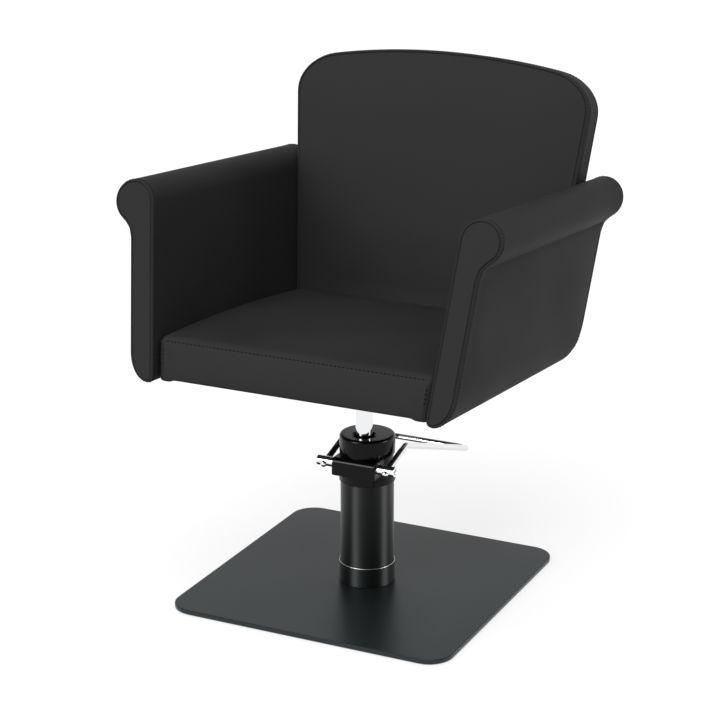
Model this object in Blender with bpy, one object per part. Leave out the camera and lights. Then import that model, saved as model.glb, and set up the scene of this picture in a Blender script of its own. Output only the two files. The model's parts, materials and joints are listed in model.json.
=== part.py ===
"""Salon styling chair: square base plate, hydraulic pump with a pedal lever, upholstered seat.

Metres, +Z up. The origin lies on the floor under the centre of the base plate. The chair faces -Y,
so left is -X for someone who stands in front of it.
"""
import math

import bmesh
import bpy
from mathutils import Matrix, Vector

# Clearance between pieces that touch
GAP = 0.0003

# Base plate and floor mat
PLATE_SIDE = 0.500
PLATE_THICK = 0.008
PLATE_CORNER = 0.042
PLATE_EDGE = 0.0012
MAT_THICK = 0.0015
MAT_INSET = 0.004

# Socket cup and its screws
SOCKET_WALL = 0.0021
SOCKET_HEIGHT = 0.035
SOCKET_FLOOR = 0.009
SOCKET_EDGE = 0.0012
SCREW_CIRCLE_R = 0.032
SCREW_R = 0.004
SCREW_HEAD_R = 0.0075
SCREW_HEAD_HEIGHT = 0.0042
SCREW_BITE = 0.007
PAN_CHAMFER = 0.3

# Pump, heights from the top of the base plate
CYLINDER_R = 0.045
CYLINDER_WALL = 0.003
CYLINDER_TOP = 0.1995
CLAMP_WALL = 0.0022
CLAMP_HEIGHT = 0.018
CLAMP_SLIT = 0.0018
CLAMP_SLIT_ANGLE = -52.0
HEAD_HEIGHT = 0.030
HEAD_R = 0.044
HEAD_EDGE = 0.006
BLOCK_WIDTH = 0.079
BLOCK_WALL = 0.0035
BLOCK_ROUND = 0.008
BLOCK_TAIL = 0.030
CAP_R = 0.0467
CAP_HEIGHT = 0.032
CAP_EDGE = 0.004
CAP_MOUTH = 0.0035

# Ram, which stands a little in front of the pump's centre
ROD_R = 0.0145
ROD_FORWARD = 0.012
BUSH_WALL = 0.003
BUSH_LENGTH = 0.056
ROD_EDGE = 0.0015
SEAL_HEIGHT = 0.005
SEAL_SHOULDER = 0.003
SEAL_LIP = 0.0008
TUBE_WALL = 0.0022
PISTON_R = 0.0155
PISTON_HEIGHT = 0.022
PISTON_FLOOR_GAP = 0.004
SEAL_GROOVE_DEPTH = 0.0025
SEAL_GROOVE_WIDTH = 0.005

# Lever axle, lever and plunger
AXLE_R = 0.0085
AXLE_LENGTH = 0.142
AXLE_FORWARD = 0.042
AXLE_ABOVE_HEAD_FOOT = 0.0175
AXLE_EDGE = 0.001
AXLE_BUSH_WALL = 0.0015
AXLE_BUSH_LENGTH = 0.008
LEVER_R = 0.0055
LEVER_SPREAD = 0.113
LEVER_STUB = 0.0135
LEVER_RISE_ANGLE = 17.0
LEVER_RISE_LENGTH = 0.0745
LEVER_FALL_ANGLE = 18.8
LEVER_FALL_LENGTH = 0.240
LEVER_FOOT_SPREAD = 0.156
LEVER_KNEE_R = 0.016
LEVER_CORNER_R = 0.020
LEVER_DOME = 0.0033
SET_SCREW_R = 0.003
SET_SCREW_RECESS = 0.0006
SET_SCREW_KEY_R = 0.0016
SET_SCREW_KEY_DEPTH = 0.003
SET_SCREW_KEY_SIDES = 6
FINGER_R = 0.004
FINGER_X = 0.025
FINGER_REACH = 0.026
FINGER_TAIL = 0.006
FINGER_ROOM = 0.0005
PLUNGER_R = 0.004
PLUNGER_ARM = 0.019
PLUNGER_LENGTH = 0.084
PLUNGER_LIFT_ROOM = 0.0006
BARREL_WALL = 0.0019
BARREL_LENGTH = 0.086
BARREL_SEAT = 0.0045

# Hub and mount plate under the seat
SEAT_HEIGHT = 0.3834
SEAT_TILT = 5.0
HUB_R = 0.023
HUB_LENGTH = 0.062
HUB_EDGE = 0.0023
HUB_TOP_WALL = 0.012
MOUNT_SIDE = 0.180
MOUNT_THICK = 0.005
MOUNT_CORNER = 0.012
MOUNT_SCREW_SPREAD = 0.140
MOUNT_SCREW_R = 0.004
MOUNT_SCREW_HEAD_R = 0.0075
MOUNT_SCREW_HEAD_HEIGHT = 0.005
MOUNT_SCREW_BITE = 0.011

# Arms, in the tilted frame of the seat: flare leans them outwards, rake leans them back
ARM_INSIDE = 0.4698
ARM_FLARE = 5.2
ARM_RAKE = 7.25
ARM_FRONT = 0.2818
ARM_LENGTH = 0.540
ARM_DROP = 0.005
ARM_THICK = 0.0415
ROLL_R = 0.0346
ROLL_HEIGHT = 0.278
NECK_R = 0.038
ARM_KEEL_WIDTH = 0.036
ARM_KEEL_HEIGHT = 0.048
ARM_HEEL_R = 0.040
ARM_SEAM_R = 0.004
CORE_THICK = 0.018
CORE_INSET = 0.0115
CORE_FOOT = 0.009
CORE_TOP = 0.222
CORE_MARGIN = 0.022

# Seat board, rails and cushion
SEAT_FRONT = 0.269
SEAT_SIDE_GAP = 0.002
SEAT_BACK_GAP = 0.0008
SEAT_EDGE_HEIGHT = 0.067
SEAT_CROWN = 0.012
SEAT_CROWN_RISE = 0.0018
SEAT_CROWN_RINGS = (0.25, 0.5, 0.75, 0.95)
SEAT_CORNER = 0.016
SEAT_EDGE_R = 0.010
SEAT_DRAW_IN = 0.0015
SEAT_COVER = 0.004
BOARD_THICK = 0.015
BOARD_FRONT_PAD = 0.012
RAIL_WIDTH = 0.025
RAIL_HEIGHT = 0.026
RAIL_MARGIN = 0.035
BOLT_R = 0.004
BOLT_HEAD_R = 0.0065
BOLT_HEAD_HEIGHT = 0.0045
BOLT_CORE_BITE = 0.014
BOLT_FRONT = 0.150
BOLT_REAR = 0.110

# Back: lean is measured in the tilted frame, so the seat's tilt comes on top of it
BACK_FOOT = 0.2071
BACK_LEAN = 6.75
BACK_LENGTH = 0.500
BACK_THICK = 0.050
BACK_SIDE_GAP = 0.0006
BACK_TOP_R = 0.870
BACK_CORNER = 0.062
BACK_EDGE_R = 0.010
BACK_REAR_EDGE = 0.004
BACK_CROWN = 0.006
BACK_CROWN_FADE = 0.100
BACK_CROWN_RINGS = ((0.045, 0.5), (0.095, 0.85), (0.160, 1.0))
BACK_BOARD_THICK = 0.015
BACK_BOARD_DEPTH = 0.029
BACK_BOARD_MARGIN = 0.022
STRAP_WIDTH = 0.040
STRAP_THICK = 0.004
STRAP_SPREAD = 0.240
STRAP_REACH = 0.100
STRAP_RISE = 0.130
STRAP_SCREW_R = 0.003
STRAP_SCREW_HEAD_R = 0.006
STRAP_SCREW_HEAD_HEIGHT = 0.0025
STRAP_SCREW_BITE = 0.010
STRAP_SCREW_END = 0.016
STRAP_SCREW_PITCH = 0.045

# Facets
ROUND_SIDES = 36
SMALL_SIDES = 12
ARC_STEPS = 6
EDGE_STEPS = 3
SEAT_SIDE_STEPS = 6
BACK_TOP_STEPS = 4
DOME_STEPS = 3
LEAST_CORNER = 0.2

# Places that follow from the sizes above
PLATE_TOP = MAT_THICK + GAP + PLATE_THICK
SOCKET_R = CYLINDER_R + GAP + SOCKET_WALL
CYLINDER_FOOT = PLATE_TOP + GAP + SOCKET_FLOOR + GAP
HEAD_FOOT = PLATE_TOP + CYLINDER_TOP + GAP
HEAD_TOP = HEAD_FOOT + HEAD_HEIGHT
CAP_TOP = HEAD_TOP + GAP + CAP_HEIGHT
AXLE_Z = HEAD_FOOT + AXLE_ABOVE_HEAD_FOOT
BUSH_R = ROD_R + GAP + BUSH_WALL
BUSH_TOP = CAP_TOP - CAP_MOUTH - SEAL_HEIGHT - GAP
AXLE_BUSH_R = AXLE_R + GAP + AXLE_BUSH_WALL
BLOCK_FRONT = AXLE_FORWARD + AXLE_BUSH_R + GAP + BLOCK_WALL
BARREL_R = PLUNGER_R + GAP + BARREL_WALL
PISTON_FOOT = CYLINDER_FOOT + PISTON_FLOOR_GAP
PIVOT = Vector((0.0, -ROD_FORWARD, PLATE_TOP + SEAT_HEIGHT))
FLARE = math.radians(ARM_FLARE)
RAKE = math.radians(ARM_RAKE)
LEAN = math.radians(BACK_LEAN)
SIDES = {"left": -1, "right": 1}


def material(name, colour, roughness, metallic=0.0):
    """A Principled material with one plain colour."""
    made = bpy.data.materials.new(name)
    made.use_nodes = True
    shader = made.node_tree.nodes["Principled BSDF"]
    shader.inputs["Base Color"].default_value = (*colour, 1.0)
    shader.inputs["Roughness"].default_value = roughness
    shader.inputs["Metallic"].default_value = metallic
    return made


def finish(name, bm, surface, parent=None, sharp=35.0):
    """Turn a bmesh into a named, smooth-shaded object."""
    bmesh.ops.recalc_face_normals(bm, faces=bm.faces[:])
    mesh = bpy.data.meshes.new(name)
    bm.to_mesh(mesh)
    bm.free()
    mesh.shade_smooth()
    mesh.set_sharp_from_angle(angle=math.radians(sharp))
    if surface is not None:
        mesh.materials.append(surface)
    made = bpy.data.objects.new(name, mesh)
    bpy.context.scene.collection.objects.link(made)
    made.parent = parent
    return made


def cutter(name, bm, parent=None):
    """A guide solid that only cuts others."""
    made = finish(name, bm, None, parent)
    made.hide_render = True
    made.display_type = "WIRE"
    return made


def cut(target, *cutters):
    """Take the cutters out of the target."""
    for tool in cutters:
        step = target.modifiers.new("cut_" + tool.name, "BOOLEAN")
        step.operation = "DIFFERENCE"
        step.object = tool


def empty(name, location, parent=None, tilt=0.0):
    """An axis or frame that carries pieces."""
    made = bpy.data.objects.new(name, None)
    made.location = location
    made.rotation_euler = (math.radians(tilt), 0.0, 0.0)
    made.parent = parent
    bpy.context.scene.collection.objects.link(made)
    return made


def arc(centre, radius, start, end, steps, squash=1.0):
    """Points of an arc in a plane, angles in degrees; squash scales the second axis."""
    points = []
    for step in range(steps + 1):
        angle = math.radians(start + (end - start) * step / steps)
        x = centre[0] + radius * math.cos(angle)
        y = centre[1] + radius * squash * math.sin(angle)
        points.append((x, y))
    return points


def rounded_square(side, corner, steps=ARC_STEPS):
    """Outline of a square with round corners, centred on the origin."""
    reach = side / 2 - corner
    points = []
    for turn, (sx, sy) in enumerate(((1, 1), (-1, 1), (-1, -1), (1, -1))):
        points += arc((sx * reach, sy * reach), corner, 90 * turn, 90 * turn + 90, steps)
    return points


def prism(outline, low, high):
    """A flat outline drawn out along Z."""
    bm = bmesh.new()
    face = bm.faces.new([bm.verts.new((x, y, low)) for x, y in outline])
    drawn = bmesh.ops.extrude_face_region(bm, geom=[face])
    lifted = [item for item in drawn["geom"] if isinstance(item, bmesh.types.BMVert)]
    bmesh.ops.translate(bm, verts=lifted, vec=(0.0, 0.0, high - low))
    return bm


def block(low, high):
    """A box between two corners."""
    outline = ((low[0], low[1]), (high[0], low[1]), (high[0], high[1]), (low[0], high[1]))
    return prism(outline, low[2], high[2])


def turned(profile, sides=ROUND_SIDES):
    """A profile of (radius, height) points spun round Z, closed or ending on the axis."""
    bm = bmesh.new()
    verts = [bm.verts.new((radius, 0.0, height)) for radius, height in profile]
    edges = [bm.edges.new(pair) for pair in zip(verts, verts[1:])]
    if profile[0][0] > 0.0:
        edges.append(bm.edges.new((verts[-1], verts[0])))
    bmesh.ops.spin(bm, geom=verts + edges, cent=(0, 0, 0), axis=(0, 0, 1),
                   angle=2 * math.pi, steps=sides, use_merge=True)
    bmesh.ops.remove_doubles(bm, verts=bm.verts[:], dist=1e-6)
    return bm


def rod_between(start, end, radius, sides=SMALL_SIDES):
    """A round bar from one point to another."""
    start = Vector(start)
    along = Vector(end) - start
    turn = Vector((0, 0, 1)).rotation_difference(along).to_matrix().to_4x4()
    place = Matrix.Translation(start + along / 2) @ turn
    bm = bmesh.new()
    bmesh.ops.create_cone(bm, cap_ends=True, segments=sides, radius1=radius, radius2=radius,
                          depth=along.length, matrix=place)
    return bm


def screw(tip, head, radius, head_radius, head_height, sides=SMALL_SIDES):
    """A pan-head screw whose head rests at one point and whose tip reaches another."""
    head = Vector(head)
    along = Vector(tip) - head
    turn = Vector((0, 0, 1)).rotation_difference(along).to_matrix().to_4x4()
    edge = head_height * PAN_CHAMFER
    profile = ((0, -head_height), (head_radius - edge, -head_height), (head_radius, edge - head_height),
               (head_radius, 0), (radius, 0), (radius, along.length), (0, along.length))
    bm = turned(profile, sides)
    bmesh.ops.transform(bm, matrix=Matrix.Translation(head) @ turn, verts=bm.verts[:])
    return bm


def loft(sections):
    """A skin through sections with equal point counts, closed by a face at each end."""
    bm = bmesh.new()
    rings = [[bm.verts.new(point) for point in section] for section in sections]
    for low, high in zip(rings, rings[1:]):
        for index in range(len(low)):
            after = (index + 1) % len(low)
            bm.faces.new((low[index], low[after], high[after], high[index]))
    bm.faces.new(rings[0])
    bm.faces.new(rings[-1])
    return bm


def rounded_path(corners, radii, steps=ARC_STEPS):
    """A route through corner points, with an arc of the given radius at each inner corner."""
    points = [corners[0]]
    for before, corner, after, radius in zip(corners, corners[1:], corners[2:], radii):
        inward = (before - corner).normalized()
        outward = (after - corner).normalized()
        half = inward.angle(outward) / 2
        centre = corner + (inward + outward).normalized() * (radius / math.sin(half))
        first = (corner + inward * (radius / math.tan(half)) - centre).normalized()
        last = (corner + outward * (radius / math.tan(half)) - centre).normalized()
        points += [centre + first.slerp(last, step / steps) * radius for step in range(steps + 1)]
    points.append(corners[-1])
    return points


def bent_rod(name, points, radius, dome, surface, parent):
    """A round rod along a route, with domed ends."""
    first = (points[1] - points[0]).normalized()
    last = (points[-2] - points[-1]).normalized()
    angles = [math.radians(90 * (step + 0.5) / DOME_STEPS) for step in range(DOME_STEPS)]
    depths = [dome * (1 - math.cos(angle)) for angle in angles]
    ends = [math.sin(angle) for angle in angles]
    route = [points[0] + first * depth for depth in depths]
    route += points[1:-1]
    route += [points[-1] + last * depth for depth in reversed(depths)]
    widths = ends + [1.0] * (len(points) - 2) + ends[::-1]
    curve = bpy.data.curves.new(name, "CURVE")
    curve.dimensions = "3D"
    curve.bevel_depth = radius
    curve.bevel_resolution = 3
    curve.use_fill_caps = True
    spline = curve.splines.new("POLY")
    spline.points.add(len(route) - 1)
    for knot, point, width in zip(spline.points, route, widths):
        knot.co = (*point, 1.0)
        knot.radius = width
    curve.materials.append(surface)
    made = bpy.data.objects.new(name, curve)
    bpy.context.scene.collection.objects.link(made)
    made.parent = parent
    return made


def build_base(paint, rubber, steel):
    """Floor mat, plate, socket cup and the four screws that join them."""
    mat = rounded_square(PLATE_SIDE - 2 * MAT_INSET, PLATE_CORNER - MAT_INSET)
    finish("floor_mat", prism(mat, 0.0, MAT_THICK), rubber)

    plate_foot = MAT_THICK + GAP
    sections = []
    for height, inset in ((0.0, PLATE_EDGE), (PLATE_EDGE, 0.0), (PLATE_THICK - PLATE_EDGE, 0.0),
                          (PLATE_THICK, PLATE_EDGE)):
        outline = rounded_square(PLATE_SIDE - 2 * inset, PLATE_CORNER - inset)
        sections.append([(x, y, plate_foot + height) for x, y in outline])
    plate = finish("base_plate", loft(sections), paint)

    foot = PLATE_TOP + GAP
    inner = CYLINDER_R + GAP
    cup = ((0, foot), (SOCKET_R, foot), (SOCKET_R, foot + SOCKET_HEIGHT - SOCKET_EDGE),
           (SOCKET_R - SOCKET_EDGE, foot + SOCKET_HEIGHT), (inner, foot + SOCKET_HEIGHT),
           (inner, foot + SOCKET_FLOOR), (0, foot + SOCKET_FLOOR))
    socket = finish("base_socket", turned(cup), paint)

    tip = PLATE_TOP + GAP + SCREW_BITE
    for number in range(4):
        angle = math.radians(45 + 90 * number)
        place = (SCREW_CIRCLE_R * math.cos(angle), SCREW_CIRCLE_R * math.sin(angle), 0.0)
        neck = plate_foot + SCREW_HEAD_HEIGHT
        profile = ((0, plate_foot), (SCREW_HEAD_R, plate_foot), (SCREW_R, neck), (SCREW_R, tip), (0, tip))
        made = finish(f"socket_screw_{number + 1}", turned(profile, SMALL_SIDES), steel)
        made.location = place
        wide = SCREW_HEAD_R + GAP * 2
        narrow = SCREW_R + GAP
        hole = ((0, plate_foot - GAP), (wide, plate_foot - GAP), (narrow, neck + GAP),
                (narrow, tip + GAP), (0, tip + GAP))
        tool = cutter(f"socket_hole_{number + 1}", turned(hole, SMALL_SIDES))
        tool.location = place
        cut(plate, tool)
        cut(socket, tool)


def head_block():
    """The pump head: a round body with a square front block that has a round top edge."""
    half = BLOCK_WIDTH / 2
    low = HEAD_FOOT
    high = HEAD_TOP
    side = [(-BLOCK_FRONT, low)]
    side += arc((BLOCK_ROUND - BLOCK_FRONT, high - BLOCK_ROUND), BLOCK_ROUND, 180, 90, ARC_STEPS)
    side += [(BLOCK_TAIL - AXLE_FORWARD, high), (BLOCK_TAIL - AXLE_FORWARD, low)]
    bm = prism(side, -half, half)
    axes = Matrix(((0, 0, 1, 0), (1, 0, 0, 0), (0, 1, 0, 0), (0, 0, 0, 1)))
    bmesh.ops.transform(bm, matrix=axes, verts=bm.verts[:])
    return bm


def build_pump(paint, gloss, bronze, rubber, steel):
    """Oil tube, clamp ring, head, cap and what they hold."""
    top = PLATE_TOP + CYLINDER_TOP
    inner = CYLINDER_R - CYLINDER_WALL
    wall = ((CYLINDER_R, CYLINDER_FOOT), (CYLINDER_R, top), (inner, top), (inner, CYLINDER_FOOT))
    finish("pump_cylinder", turned(wall), paint)

    ring_in = CYLINDER_R + GAP
    ring_out = ring_in + CLAMP_WALL
    ring = ((ring_out, top - CLAMP_HEIGHT), (ring_out, top), (ring_in, top), (ring_in, top - CLAMP_HEIGHT))
    clamp = finish("clamp_ring", turned(ring), gloss)
    slit = block((0, -CLAMP_SLIT / 2, top - CLAMP_HEIGHT - GAP),
                 (ring_out + CLAMP_WALL, CLAMP_SLIT / 2, top + GAP))
    slit_tool = cutter("clamp_slit", slit)
    slit_tool.rotation_euler = (0, 0, math.radians(CLAMP_SLIT_ANGLE))
    cut(clamp, slit_tool)

    body = ((0, HEAD_FOOT), (HEAD_R - HEAD_EDGE, HEAD_FOOT), (HEAD_R, HEAD_FOOT + HEAD_EDGE),
            (HEAD_R, HEAD_TOP), (0, HEAD_TOP))
    head = finish("pump_head", turned(body), gloss)
    front = cutter("head_block", head_block())
    join = head.modifiers.new("front_block", "BOOLEAN")
    join.operation = "UNION"
    join.object = front

    ram = empty("ram_axis", (0, -ROD_FORWARD, 0))
    bore = BUSH_R + GAP
    ram_bore = rod_between((0, 0, HEAD_FOOT - GAP), (0, 0, CAP_TOP), bore, ROUND_SIDES)
    cut(head, cutter("ram_bore", ram_bore, ram))
    half = BLOCK_WIDTH / 2
    axle = (-AXLE_FORWARD, AXLE_Z)
    hole = rod_between((-half - GAP, *axle), (half + GAP, *axle), AXLE_R + GAP, ROUND_SIDES)
    cut(head, cutter("axle_bore", hole))
    for name, side in SIDES.items():
        inside = side * (half - AXLE_BUSH_LENGTH)
        seat = rod_between((inside, *axle), (side * (half + GAP), *axle), AXLE_BUSH_R + GAP, ROUND_SIDES)
        cut(head, cutter(f"axle_bush_seat_{name}", seat))
        sleeve_in = AXLE_R + GAP
        sleeve_length = AXLE_BUSH_LENGTH - GAP
        sleeve = turned(((AXLE_BUSH_R, 0), (AXLE_BUSH_R, sleeve_length), (sleeve_in, sleeve_length),
                         (sleeve_in, 0)))
        bush = finish(f"axle_bush_{name}", sleeve, bronze)
        bush.location = (side * (half - sleeve_length), *axle)
        bush.rotation_euler = (0, side * math.pi / 2, 0)

    pocket_half = FINGER_R + FINGER_ROOM
    pocket_rear = FINGER_REACH + FINGER_ROOM * 2 - AXLE_FORWARD
    pocket = block((FINGER_X - pocket_half, -AXLE_FORWARD, HEAD_FOOT + BARREL_SEAT),
                   (FINGER_X + pocket_half, pocket_rear, AXLE_Z + FINGER_R + FINGER_ROOM))
    cut(head, cutter("finger_pocket", pocket))
    plunger_place = (FINGER_X, PLUNGER_ARM - AXLE_FORWARD)
    seat = rod_between((*plunger_place, HEAD_FOOT - GAP), (*plunger_place, HEAD_FOOT + BARREL_SEAT + GAP),
                       BARREL_R + GAP)
    cut(head, cutter("barrel_seat", seat))
    barrel_top = HEAD_FOOT + BARREL_SEAT - GAP
    bore_r = PLUNGER_R + GAP
    barrel = turned(((BARREL_R, barrel_top - BARREL_LENGTH), (BARREL_R, barrel_top), (bore_r, barrel_top),
                     (bore_r, barrel_top - BARREL_LENGTH)), SMALL_SIDES)
    finish("plunger_barrel", barrel, steel).location = (*plunger_place, 0)

    cap_foot = HEAD_TOP + GAP
    shell = [(0, cap_foot), (CAP_R, cap_foot)]
    shell += arc((CAP_R - CAP_EDGE, CAP_TOP - CAP_EDGE), CAP_EDGE, 0, 90, EDGE_STEPS)
    shell.append((0, CAP_TOP))
    cap = finish("pump_cap", turned(shell), gloss)
    lip = BUSH_R + GAP
    mouth = lip + CAP_MOUTH
    hole = ((0, HEAD_TOP), (lip, HEAD_TOP), (lip, CAP_TOP - CAP_MOUTH), (mouth, CAP_TOP + GAP),
            (0, CAP_TOP + GAP))
    cut(cap, cutter("cap_hole", turned(hole), ram))

    rod_in = ROD_R + GAP
    bush = turned(((BUSH_R, BUSH_TOP - BUSH_LENGTH), (BUSH_R, BUSH_TOP), (rod_in, BUSH_TOP),
                   (rod_in, BUSH_TOP - BUSH_LENGTH)))
    finish("guide_bush", bush, bronze, ram)
    seal_foot = BUSH_TOP + GAP
    seal = turned(((BUSH_R, seal_foot), (BUSH_R, seal_foot + SEAL_SHOULDER),
                   (rod_in + SEAL_LIP, seal_foot + SEAL_HEIGHT), (rod_in, seal_foot + SEAL_HEIGHT),
                   (rod_in, seal_foot)))
    finish("wiper_seal", seal, rubber, ram)
    tube_in = PISTON_R + GAP
    tube_out = tube_in + TUBE_WALL
    tube_top = BUSH_TOP - BUSH_LENGTH - GAP
    tube = turned(((tube_out, CYLINDER_FOOT), (tube_out, tube_top), (tube_in, tube_top),
                   (tube_in, CYLINDER_FOOT)))
    finish("ram_tube", tube, steel, ram)


def build_lever(chrome, steel):
    """Cross axle, bent pedal lever, its grub screws and the finger that works the plunger."""
    axis = empty("lever_axis", (0, -AXLE_FORWARD, AXLE_Z))
    half = AXLE_LENGTH / 2
    profile = ((0, -half), (AXLE_R - AXLE_EDGE, -half), (AXLE_R, AXLE_EDGE - half),
               (AXLE_R, half - AXLE_EDGE), (AXLE_R - AXLE_EDGE, half), (0, half))
    bm = turned(profile)
    bmesh.ops.rotate(bm, matrix=Matrix.Rotation(math.pi / 2, 3, "Y"), verts=bm.verts[:])
    axle = finish("lever_axle", bm, chrome, axis)

    rise = math.radians(LEVER_RISE_ANGLE)
    fall = math.radians(LEVER_FALL_ANGLE)
    up = Vector((0, math.cos(rise), math.sin(rise)))
    down = Vector((0, math.cos(fall), -math.sin(fall)))
    reach = Vector((LEVER_SPREAD / 2, 0, 0))
    foot_reach = Vector((LEVER_FOOT_SPREAD / 2, 0, 0))
    stub = -up * LEVER_STUB
    knee = up * LEVER_RISE_LENGTH
    foot = knee + down * LEVER_FALL_LENGTH
    corners = [reach + stub, reach + knee, foot_reach + foot, foot - foot_reach, knee - reach, stub - reach]
    radii = (LEVER_KNEE_R, LEVER_CORNER_R, LEVER_CORNER_R, LEVER_KNEE_R)
    bent_rod("pedal_lever", rounded_path(corners, radii), LEVER_R, LEVER_DOME, chrome, axis)

    for name, side in SIDES.items():
        place = reach * side
        hole = rod_between(place - up * AXLE_R * 2, place + up * AXLE_R * 2, LEVER_R + GAP)
        bore_start = side * (LEVER_SPREAD / 2)
        bore = rod_between((bore_start, 0, 0), (side * (half + GAP), 0, 0), SET_SCREW_R + GAP)
        cut(axle, cutter(f"lever_hole_{name}", hole, axis), cutter(f"set_screw_hole_{name}", bore, axis))
        inner = side * (LEVER_SPREAD / 2 + LEVER_R + GAP)
        outer = side * (half - SET_SCREW_RECESS)
        thread = rod_between((inner, 0, 0), (outer, 0, 0), SET_SCREW_R)
        grub = finish(f"set_screw_{name}", thread, steel, axis)
        key_end = outer - side * SET_SCREW_KEY_DEPTH
        key = rod_between((key_end, 0, 0), (outer + side * GAP, 0, 0), SET_SCREW_KEY_R, SET_SCREW_KEY_SIDES)
        cut(grub, cutter(f"set_screw_key_{name}", key, axis))

    tail = (FINGER_X, -FINGER_TAIL, 0)
    tip = (FINGER_X, FINGER_REACH, 0)
    finish("cam_finger", rod_between(tail, tip, FINGER_R), steel, axis)
    hole = rod_between((FINGER_X, -FINGER_TAIL - GAP, 0), (FINGER_X, AXLE_R * 2, 0), FINGER_R + GAP)
    cut(axle, cutter("finger_hole", hole, axis))


def build_plunger(steel):
    """The round-headed pin that the lever's finger pushes down into the pump."""
    top = AXLE_Z - FINGER_R - PLUNGER_LIFT_ROOM
    axis = empty("plunger_axis", (FINGER_X, PLUNGER_ARM - AXLE_FORWARD, top))
    profile = [(0, -PLUNGER_LENGTH), (PLUNGER_R, -PLUNGER_LENGTH)]
    profile += arc((0, -PLUNGER_R), PLUNGER_R, 0, 90, DOME_STEPS)
    finish("pump_plunger", turned(profile, SMALL_SIDES), steel, axis)


def build_lift(steel, rubber):
    """The piston under the ram, with its seal."""
    axis = empty("lift_axis", (0, -ROD_FORWARD, PISTON_FOOT))
    groove_r = PISTON_R - SEAL_GROOVE_DEPTH
    groove_foot = (PISTON_HEIGHT - SEAL_GROOVE_WIDTH) / 2
    groove_top = groove_foot + SEAL_GROOVE_WIDTH
    profile = ((0, 0), (PISTON_R, 0), (PISTON_R, groove_foot), (groove_r, groove_foot),
               (groove_r, groove_top), (PISTON_R, groove_top), (PISTON_R, PISTON_HEIGHT),
               (0, PISTON_HEIGHT))
    finish("ram_piston", turned(profile), steel, axis)
    seal_in = groove_r + GAP
    seal = turned(((PISTON_R, groove_foot + GAP), (PISTON_R, groove_top - GAP), (seal_in, groove_top - GAP),
                   (seal_in, groove_foot + GAP)))
    finish("piston_seal", seal, rubber, axis)


def build_mount(swivel, tilted, chrome, paint, steel):
    """Ram, hub and mount plate, with the screws up into the seat board."""
    rod_foot = PISTON_FOOT + PISTON_HEIGHT + GAP - PIVOT.z
    plate_foot = -GAP - MOUNT_THICK
    hub_top = plate_foot - GAP
    hub_foot = hub_top - HUB_LENGTH
    rod_top = hub_top - HUB_TOP_WALL - GAP
    profile = ((0, rod_foot), (ROD_R, rod_foot), (ROD_R, rod_top - ROD_EDGE), (ROD_R - ROD_EDGE, rod_top),
               (0, rod_top))
    finish("piston_rod", turned(profile), chrome, swivel)

    socket = ROD_R + GAP
    profile = ((0, 0), (HUB_R, 0), (HUB_R, hub_foot + HUB_EDGE), (HUB_R - HUB_EDGE, hub_foot),
               (socket, hub_foot), (socket, rod_top + GAP), (0, rod_top + GAP))
    hub = finish("seat_hub", turned(profile), paint, swivel)
    reach = MOUNT_SIDE
    cut(hub, cutter("hub_top_cut", block((-reach, -reach, hub_top), (reach, reach, reach)), tilted))

    outline = rounded_square(MOUNT_SIDE, MOUNT_CORNER)
    plate = finish("mount_plate", prism(outline, plate_foot, -GAP), paint, tilted)
    half = MOUNT_SCREW_SPREAD / 2
    holes = []
    for number, (sx, sy) in enumerate(((1, 1), (-1, 1), (-1, -1), (1, -1)), start=1):
        place = (sx * half, sy * half)
        head = (*place, plate_foot - GAP)
        tip = (*place, MOUNT_SCREW_BITE)
        finish(f"mount_screw_{number}", screw(tip, head, MOUNT_SCREW_R, MOUNT_SCREW_HEAD_R,
                                              MOUNT_SCREW_HEAD_HEIGHT), steel, tilted)
        hole = rod_between((*place, plate_foot - GAP), (*place, MOUNT_SCREW_BITE + GAP), MOUNT_SCREW_R + GAP)
        tool = cutter(f"mount_hole_{number}", hole, tilted)
        cut(plate, tool)
        holes.append(tool)
    return holes


def arm_frame(side):
    """Matrix from (out, up, along) of an arm to the tilted frame of the seat."""
    inside = side * (ARM_INSIDE / 2)
    return Matrix(((side * math.cos(FLARE), side * math.sin(FLARE), 0, inside),
                   (0, math.tan(RAKE), 1, -ARM_FRONT),
                   (-math.sin(FLARE), math.cos(FLARE), 0, 0),
                   (0, 0, 0, 1)))


def inside_of_arm(height):
    """Half the space between the arms at a height over the seat board's underside."""
    return ARM_INSIDE / 2 + height * math.tan(FLARE)


def arm_outline():
    """Front view of an arm: straight inside, rolled top, neck under the roll and a keel-like foot."""
    roll = (ROLL_R, ROLL_HEIGHT)
    offset = ARM_THICK + NECK_R - ROLL_R
    neck_drop = math.sqrt((ROLL_R + NECK_R) ** 2 - offset ** 2)
    leave = math.degrees(math.atan2(-neck_drop, offset))
    neck = (ARM_THICK + NECK_R, ROLL_HEIGHT - neck_drop)
    keel = (ARM_THICK - ARM_KEEL_WIDTH, ARM_KEEL_HEIGHT - ARM_DROP)
    points = arc(roll, ROLL_R, 180, leave, ARC_STEPS * 3)
    points += arc(neck, NECK_R, leave + 180, 180, ARC_STEPS)[1:]
    squash = ARM_KEEL_HEIGHT / ARM_KEEL_WIDTH
    points += arc(keel, ARM_KEEL_WIDTH, 0, -90, ARC_STEPS, squash)
    points.append((0.0, -ARM_DROP))
    return points


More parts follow.
